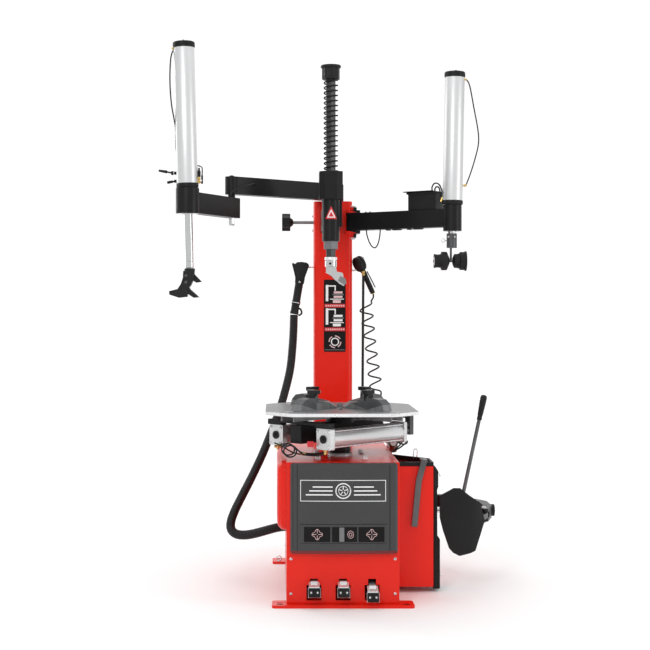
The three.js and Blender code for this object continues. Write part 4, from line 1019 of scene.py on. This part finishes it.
def left_assist():
    """The left cylinder with its valve, rod and foot, and the links' air lines and nut."""
    valve = Shape()
    valve.block((-700, -29, 1750), (-640, 15, 1832), BLACK, 3)
    valve.rod((-712, -7, 1800), (-698, -7, 1800), 7, BLACK, 24)
    assist_tube("left_cylinder", "left_air_cylinder", "left_outer", LEFT_FOOT, LEFT_LEAN, 619, valve)
    parts = Shape()
    block = Vector((-670, -7, 1791))
    for z in (-22, 22):
        for x in (-20, 20):
            parts.screw(block + Vector((x, 22.2, z)), BACK, 5, CHROME)
    parts.rod((-640, -7, 1765), (-626, -7, 1765), 8, BRASS, 6)
    parts.wire([(-603, -62, 1752), (-600, -62, 1758), (-598, -62, 1762)], 6, BRASS)
    for bottom, top, radius, used, sides in ((1750, 1768, 8.5, BRASS, 6), (1768, 1778, 6, BRASS, 18),
                                             (1778, 1804, 7, BLACK, 18), (1804, 1816, 4, BLACK_AND_SHADE, 18)):
        parts.rod((-601, -69, bottom), (-601, -69, top), radius, used, sides)
    parts.rod((-610, -69, 1762), (-588, -69, 1762), 5, BRIGHT, 18)
    parts.rod((-588, -69, 1748), (-588, -69, 1784), 4.2, BLACK_AND_SHADE, 14)
    parts.piece("left_air_fitting", "left_outer", "bare_steel")
    lines = Shape()
    lines.wire([(-706, -78, 2318), (-716, -78, 2300), (-722, -78, 2262), (-724, -78, 2180),
                (-718, -78, 2090),
                (-706, -78, 2020), (-700, -74, 1980), (-700, -50, 1900), (-690, -20, 1835)], 3, HOSE)
    lines.wire([(-588, -69, 1784), (-588, -60, 1810), (-596, -30, 1826), (-640, -4, 1838),
                (-660, -4, 1833)], 2.6, HOSE)
    lines.rod((-716, -78, 2322), (-694, -78, 2322), 5.5, BRASS, 6)
    lines.piece("left_air_lines", "left_outer", "rubber")
    second = Shape()
    second.rod((-712, -7, 1765), (-698, -7, 1765), 7, BLACK, 18)
    second.rod((-722, -7, 1763), (-700, -7, 1765), 4, BLACK, 14)
    second.rod((-742, -7, 1759), (-716, -7, 1764), 6, MOULDED, 18, 2.5)
    second.piece("second_valve_lever", "left_outer", "black_plastic")

    low, _ = span("left_press_foot")
    rod = Shape()
    slope = Vector((-LEFT_SLOPE, 0, 1))
    bottom, top = (LEFT_FOOT + slope * (z - LEFT_FOOT.z) for z in (ROD_BOTTOM, ROD_TOP))
    reach = (top - bottom).length
    seat = [(13.5, 0), (15, 1.5), (15, 11), (18, 13), (18, 34), (17.1, 35), (17.1, 38), (18, 39)]
    piston_end = [(18, reach - 24), (16, reach - 22), (16, reach - 3), (14, reach)]
    rod.lathe(bottom, top - bottom, seat + piston_end, CHROME, 56)
    rod.piece("left_chrome_rod", "left_plunger", "chrome", ["left_rod"])
    foot = Shape()
    for z in (1330, 1358):
        foot.bolt((-655, low.y + 4, z), FRONT, 8, DARK_STEEL, head="socket")
    foot.rod(bottom - UP * 6, bottom + UP * 10, 23, SHEEN_BLACK, 40, 3)
    foot.piece("press_foot_screws", "left_plunger", "black_parts")

    link = Shape()
    along = (LEFT_ELBOW - LEFT_PIVOT).normalized()
    out = front_of(along)
    hole = LEFT_PIVOT.lerp(LEFT_ELBOW, 0.83) + UP * 1783
    face = hole + out * 28.5
    link.lathe(face, out, [(8, -1), (8, 1), (6.5, 2), (4.5, 2), (4.5, 0)], BLACK_AND_SHADE, 24)
    elbow = LEFT_ELBOW + out * 34
    route = [face + out, face + out * 10 + along * 10 - UP, face + out * 13 + along * 40 - UP * 8]
    route += [elbow + along * ahead + UP * z for ahead, z in ((-6, 1758), (22, 1738), (28, 1722))]
    link.wire(route, 3, HOSE)
    link.piece("elbow_air_hose", "left_inner", "rubber")
    elbow_nut = Shape()
    elbow_nut.bolt(LEFT_ELBOW + UP * 1600, DOWN, 15, BRIGHT, washer=False)
    elbow_nut.piece("elbow_lock_nut", "left_outer", "bare_steel")


def right_assist():
    """The right cylinder, its air lines, the cable under the arm, the arm's bolts and the box's lid."""
    assist_tube("right_cylinder", "right_air_cylinder", "right_swing_arm", RIGHT_FOOT, RIGHT_LEAN, 598,
                Shape())
    lines = Shape()
    lines.wire([(572, 262, 2248), (586, 262, 2246), (600, 262, 2215), (618, 262, 2120), (636, 262, 2020),
                (638, 262, 1960), (622, 262, 1890), (600, 262, 1820), (583, 262, 1776)], 3, HOSE)
    lines.rod((566, 262, 2250), (584, 262, 2250), 5.5, BRASS, 6)
    lines.rod((570, 262, 1770), (584, 262, 1774), 6, BRASS, 6)
    lines.wire([(440, 330, 1744), (436, 322, 1768), (446, 312, 1786), (464, 302, 1782), (476, 292, 1756),
                (478, 288, 1730)],
               3.4, HOSE)
    lines.wire([(452, 336, 1744), (450, 326, 1762), (458, 318, 1772), (468, 308, 1762), (472, 300, 1730),
                (474, 296, 1704)],
               3.4, HOSE)
    lines.rod((472, 290, 1700), (480, 288, 1722), 6, BRASS, 6)
    lines.piece("right_air_lines", "right_swing_arm", "rubber")
    under = Shape()
    under.wire([(150, 500, 1584), (152, 492, 1562), (160, 478, 1532), (172, 462, 1508), (186, 448, 1500),
                (198, 440, 1514), (206, 434, 1546), (210, 432, 1584)], 3, HOSE)
    along = (RIGHT_END - RIGHT_PIVOT).normalized()
    across = Vector((-along.y, along.x, 0))
    for reach, size in ((190, 16), (235, 40), (300, 16), (345, 44)):
        middle = RIGHT_PIVOT + along * reach + UP * 1584.5
        outline = frame_outline(-size / 2, -14, size / 2, 14, 2)
        under.slab(outline, middle, along, across, -4.5, MOULDED, 0.8)
    under.piece("under_arm_cable", "right_swing_arm", "rubber")
    bolts = Shape()
    out = front_of(along)
    sleeve = RIGHT_END + UP * 1622
    bolts.lathe(sleeve + out * 41.5 - along * 8, out, [(4.5, 0), (4.5, 1.2), (3, 1.2), (3, -1)], BLACK_AND_SHADE,
                20)
    for reach in (70, 95):
        bolts.bolt(RIGHT_PIVOT + along * reach + UP * 1667, UP, 8, BRIGHT)
    bolts.piece("right_arm_bolts", "right_swing_arm", "bare_steel")
    lid = Shape()
    low, high = span("control_box")
    centre = Vector(((low.x + high.x) / 2, (low.y + high.y) / 2, high.z))
    lid.slab(frame_outline(-92, -58, 60, 58, 6), centre, along, across, 3, MOULDED, 1.2)
    for u in (-60, 40):
        for v in (-38, 38):
            lid.screw(centre + along * u + across * v + UP * 3, UP, 4.5, CHROME)
    lid.piece("control_box_lid", "right_swing_arm", "black_plastic")


def press_roller():
    """Roller cones, the rod's collar and the ring pin beside it."""
    axle = pivot("roller_spin")
    for side, out, name, profile in (
        ("left", LEFT, "left_cone", [(439, 27), (439, 32.5), (446, 30.5), (456, 29.5), (467, 31), (471, 33),
                                     (471.5, 41), (474, 42), (493, 42), (496, 41), (502, 28), (508, 14)]),
        ("right", RIGHT, "right_cone", [(522, 14), (526, 24), (530, 31.5), (541, 32), (552, 34), (556, 41),
                                        (571, 41), (578, 43), (583, 46), (583, 38)]),
    ):
        cone = Shape()
        start = profile[0][0]
        cone.lathe((start, axle.y, axle.z), RIGHT, [(r, x - start) for x, r in profile], RUBBER, 64)
        face = 439 if side == "left" else 583
        cone.lathe((face, axle.y, axle.z), out, [(20, -1), (20, 0.6), (9, 0.8), (7.5, 2)], BRIGHT, 32)
        cone.piece(name, "roller", "black_plastic", [f"press_roller_{side}"])
    dress("right_rod", CHROME, (lambda c: c.z < ROD_COLLAR, DARK_STEEL), bevel=1)
    pin = Shape()
    pin.rod((488, 271, 1524), (508, 271, 1524), 3, BRIGHT, 16)
    pin.wire([(489, 271, 1524), (481, 271, 1533), (472, 271, 1524), (481, 271, 1515), (489, 271, 1524)],
             1.6, CHROME)
    for x in (-1, 1):
        pin.bolt((515 + x * 14, 247.5, 1540), FRONT, 5, BRIGHT, head="socket", washer=False)
    pin.piece("collar_pin", "right_plunger", "bare_steel")


# ---------------------------------------------------------------- air equipment
# The grip runs from its upper to its lower end, each an across and a height.
GUN = {"drum": (126, 650, 1431), "facing": Vector((0.80, 0.40, 0.39)), "grip": ((147, 1392), (192, 1290))}


def inflator():
    """Gauge in its rubber boot, handle with its grip, hanging loop and brass fitting."""
    gun = Shape()
    centre = Vector(GUN["drum"])
    out = GUN["facing"].normalized()
    gun.lathe(centre - out * 17, out, [(26, 0), (34, 1), (37, 5), (37, 12), (35.5, 14), (35.5, 19),
                                       (37, 21), (37, 29),
                                       (36, 33), (33, 34), (31.5, 34), (31.5, 31.5)], RUBBER, 64)
    gun.lathe(centre + out * 12, out, [(31.4, 0), (31.4, 2.4)], WHITE, 64)
    gun.lathe(centre + out * 14.3, out, [(31.6, 0), (31.6, 2.6), (29.6, 2.6), (29.6, 0.2)], CHROME, 64)
    u, v = cross_axes(out)
    for i in range(28):
        a = math.pi * 2 * (0.06 + 0.88 * i / 27)
        mark = turned(u, v, a)
        inner = 19 if i % 3 == 0 else 22
        line = [(inner, -0.45), (27, -0.45), (27, 0.45), (inner, 0.45)]
        gun.slab(line, centre + out * 14.4, mark, out.cross(mark), 0.5, BLACK_AND_SHADE)
    hand = (u * 0.4 - v * 0.9).normalized()
    pointer = [(-5, -1.2), (21, -0.5), (21, 0.5), (-5, 1.2)]
    gun.slab(pointer, centre + out * 15, hand, out.cross(hand), 0.7, SIGN_RED)
    gun.lathe(centre + out * 14.4, out, [(3, 0), (3, 1.8), (2, 2.4)], BLACK_AND_SHADE, 20)
    (tx, tz), (ex, ez) = GUN["grip"]
    path = smooth_path([Vector(p) for p in ((128, 650, 1420), (136, 650, 1404), (tx, 650, tz),
                                            (158, 650, 1366),
                                           (172, 650, 1335), (184, 650, 1308), (ex, 650, ez))], 5)
    swell = [11.4 + 0.9 * math.sin(math.pi * i / (len(path) - 1)) for i in range(len(path))]
    gun.sweep(path, swell, MOULDED, 24)
    for i in range(9):
        p = Vector((161 + 2.9 * i, 650, 1359 - 6.7 * i))
        d = Vector((0.4, 0, -0.92)).normalized()
        gun.lathe(p, d, [(12, 0), (12.9, 0.8), (12.9, 2.4), (12, 3.2)], MOULDED, 24)
    gun.rod((144, 652, 1388), (144, 628, 1388), 7, BRIGHT, 24)
    gun.rod((144, 628, 1397), (144, 628, 1384), 8, BRASS, 6)
    gun.rod((144, 628, 1384), (144, 628, 1374), 7.4, BRASS, 28)
    gun.rod((189, 650, 1297), (194, 650, 1287), 8, BRASS, 6)
    gun.wire([(150, 640, 1446), (146, 636, 1462), (134, 636, 1466), (122, 640, 1458)], 1.8, CHROME)
    gun.piece("tyre_inflator", "tower", "black_plastic", ["inflator_gun"])


def nozzle():
    """Flattened nozzle on its hook, with the collar, lever and coupling of the hose below it."""
    fan = [(-198, 1434), (-190, 1437), (-184, 1430), (-172, 1440), (-150, 1441), (-125, 1437), (-114, 1425),
           (-124, 1396), (-135, 1366), (-139, 1338), (-182, 1338), (-182, 1368), (-190, 1402)]
    parts = Shape()
    parts.slab(fan, (0, 664, 0), RIGHT, UP, 28, MOULDED, 4)
    for x in (-178, -160, -142):
        parts.slab(frame_outline(x - 1.5, 1362, x + 1.5, 1424, 1), (0, 636.4, 0), RIGHT, UP, 1.6, MOULDED)
    start, end = Vector((-160, 650, 1352)), Vector((-187, 650, 1190))
    along = (end - start).normalized()
    reach = (end - start).length
    parts.lathe(start, along, [(20, 0), (22, 3), (22, 12), (19.5, 15), (19, 60), (19, reach - 66),
                               (21, reach - 62),
                               (21, reach - 50), (19, reach - 46), (19, reach - 14), (20.3, reach - 10),
                               (20.3, reach)],
                MOULDED, 48)
    ring_at = start + along * (reach - 58)
    parts.lathe(ring_at, along, [(21.6, 0), (21.6, 3)], BRIGHT, 48)
    lever = ring_at + along * 30
    parts.wire([lever + Vector((16, 0, 0)), lever + Vector((26, 0, -4)), lever + Vector((32, 0, -20)),
                lever + Vector((26, 0, -30)), lever + Vector((16, 0, -34))], 4.5, MOULDED)
    parts.screw(start + along * 8 + Vector((0, -20, 0)), FRONT, 5, CHROME)
    parts.piece("inflation_nozzle", "tower", "black_plastic", ["blast_nozzle"])


def filter_unit():
    """Filter and regulator with its bowl, adjusting knob, gauge and the tube to the cabinet."""
    centre = Vector((260, 340, 0))
    unit = Shape()
    unit.lathe(centre + UP * 561, UP, [(7, 0), (15, 1), (19, 8), (20, 14), (20, 37)], BOWL, 48)
    unit.lathe(centre + UP * 592, UP, [(21, 0), (22, 2), (22, 9), (21, 10)], MOULDED, 48)
    unit.block((237, 323, 601), (283, 357, 615), GREY_PAINT, 2)
    unit.lathe(centre + UP * 615, UP, [(12, 0), (12, 4), (14, 6), (14, 20), (12.5, 24)], MOULDED, 32)
    for i in range(16):
        rib = centre + turned(RIGHT, BACK, 2 * math.pi * i / 16) * 14
        unit.rod(rib + UP * 622, rib + UP * 634, 1, MOULDED, 6, 0.3)
    unit.lathe((260, 323.5, 608), FRONT, [(15, 0), (17, 1), (17, 10), (15.5, 11), (15, 11), (15, 9.5)],
               MOULDED, 40)
    unit.lathe((260, 314, 608), FRONT, [(14.8, 0), (14.8, 1)], WHITE, 40)
    unit.slab([(-0.6, -3), (0.6, -3), (0.4, 11), (-0.4, 11)], (260, 313, 608), RIGHT, UP, 0.6, SIGN_RED)
    unit.block((231.4, 328, 576), (246, 352, 611), BRIGHT, 1)
    unit.rod((237, 346, 608), (226, 346, 608), 6, BRASS, 6)
    unit.piece("filter_regulator_unit", "base", "grey_tank", ["filter_regulator"])
    tubes = Shape()
    tubes.wire([(284, 344, 608), (298, 338, 612), (310, 312, 628), (312, 270, 640), (300, 236, 630),
                (280, 228, 606), (262, 228, 590), (250, 228, 575)], 3.6, HOSE)
    tubes.wire([(284, 336, 606), (304, 326, 600), (318, 300, 606), (318, 262, 620), (304, 232, 612),
                (280, 216, 596), (258, 214, 585), (240, 214, 575)], 3.6, HOSE)
    tubes.piece("filter_air_tubes", "base", "rubber")


# ---------------------------------------------------------------- bead breaker
BREAKER_ROD_AT = Vector((-20, 250, 312))


def bead_breaker():
    """The blade's handle with its ribbed grip, the threaded cylinder rod, and the hinges' nuts."""
    grip = Shape()
    grip.block((499, -23.4, 329), (535, -9.6, 401), SATIN, 1.5)
    grip.rod((517, -12, 365), (600, -12, 750), 8, DARK_STEEL, 32, 1)
    start, end = Vector((598, -12, 740)), Vector((620, -12, 847))
    along = (end - start).normalized()
    reach = (end - start).length
    profile = [(9.4, 0), (11, 3), (11, 8), (10, 11), (10.6, 20)]
    for i in range(7):
        z = 24 + 9 * i
        r = 11.2 + 0.42 * i
        profile += [(r, z), (r + 0.9, z + 2.5), (r + 0.9, z + 5), (r, z + 7)]
    profile += [(14.4, reach - 16), (13.6, reach - 8), (10.6, reach - 2.4), (6, reach)]
    grip.lathe(start, along, profile, MOULDED, 40)
    for z in (348, 384):
        grip.bolt((517, -23.4, z), FRONT, 8, DARK_STEEL, head="socket")
    grip.piece("blade_handle", "blade", "black_parts", ["breaker_handle"])
    rod = Shape()
    profile = [(10.5, 0), (12, 1.5), (12, 560), (11.2, 562), (11.2, 566), (12, 568), (12, 588)]
    for turn in range(15):
        profile += [(11, 590 + 4 * turn), (12, 592 + 4 * turn)]
    rod.lathe(BREAKER_ROD_AT, RIGHT, profile + [(10.5, 652)], CHROME, 48)
    rod.piece("breaker_chrome_rod", "breaker_plunger", "chrome", ["breaker_rod"])
    parts = Shape()
    parts.lathe(BREAKER_ROD_AT + RIGHT * 726, RIGHT, [(22, -1), (22, 1), (14, 2), (9, 2), (9, -1)], SATIN,
                36)
    hinge = pivot("breaker_arm_swing")
    parts.bolt((hinge.x, hinge.y, hinge.z + 45), UP, 18, BRIGHT, washer=False)
    parts.piece("breaker_arm_nuts", "breaker_swing_arm", "bare_steel")
    pin = Shape()
    hinge = pivot("blade_swing")
    pin.bolt((hinge.x, hinge.y, 340.3), UP, 10, BRIGHT, washer=False)
    pin.bolt((hinge.x, hinge.y, 283.7), DOWN, 10, BRIGHT, washer=False)
    pin.piece("blade_hinge_nuts", "breaker_swing_arm", "bare_steel")


# ---------------------------------------------------------------- the whole machine
camera()
lights()
backdrop()
hoses()
cad_parts()
cover_trim()
cabinet_top()
tray_and_box()
floor_fixings()
pedals()
clamp_fittings()
spindle_trim()
tower_trim()
arm_trim()
left_assist()
right_assist()
press_roller()
inflator()
nozzle()
filter_unit()
bead_breaker()
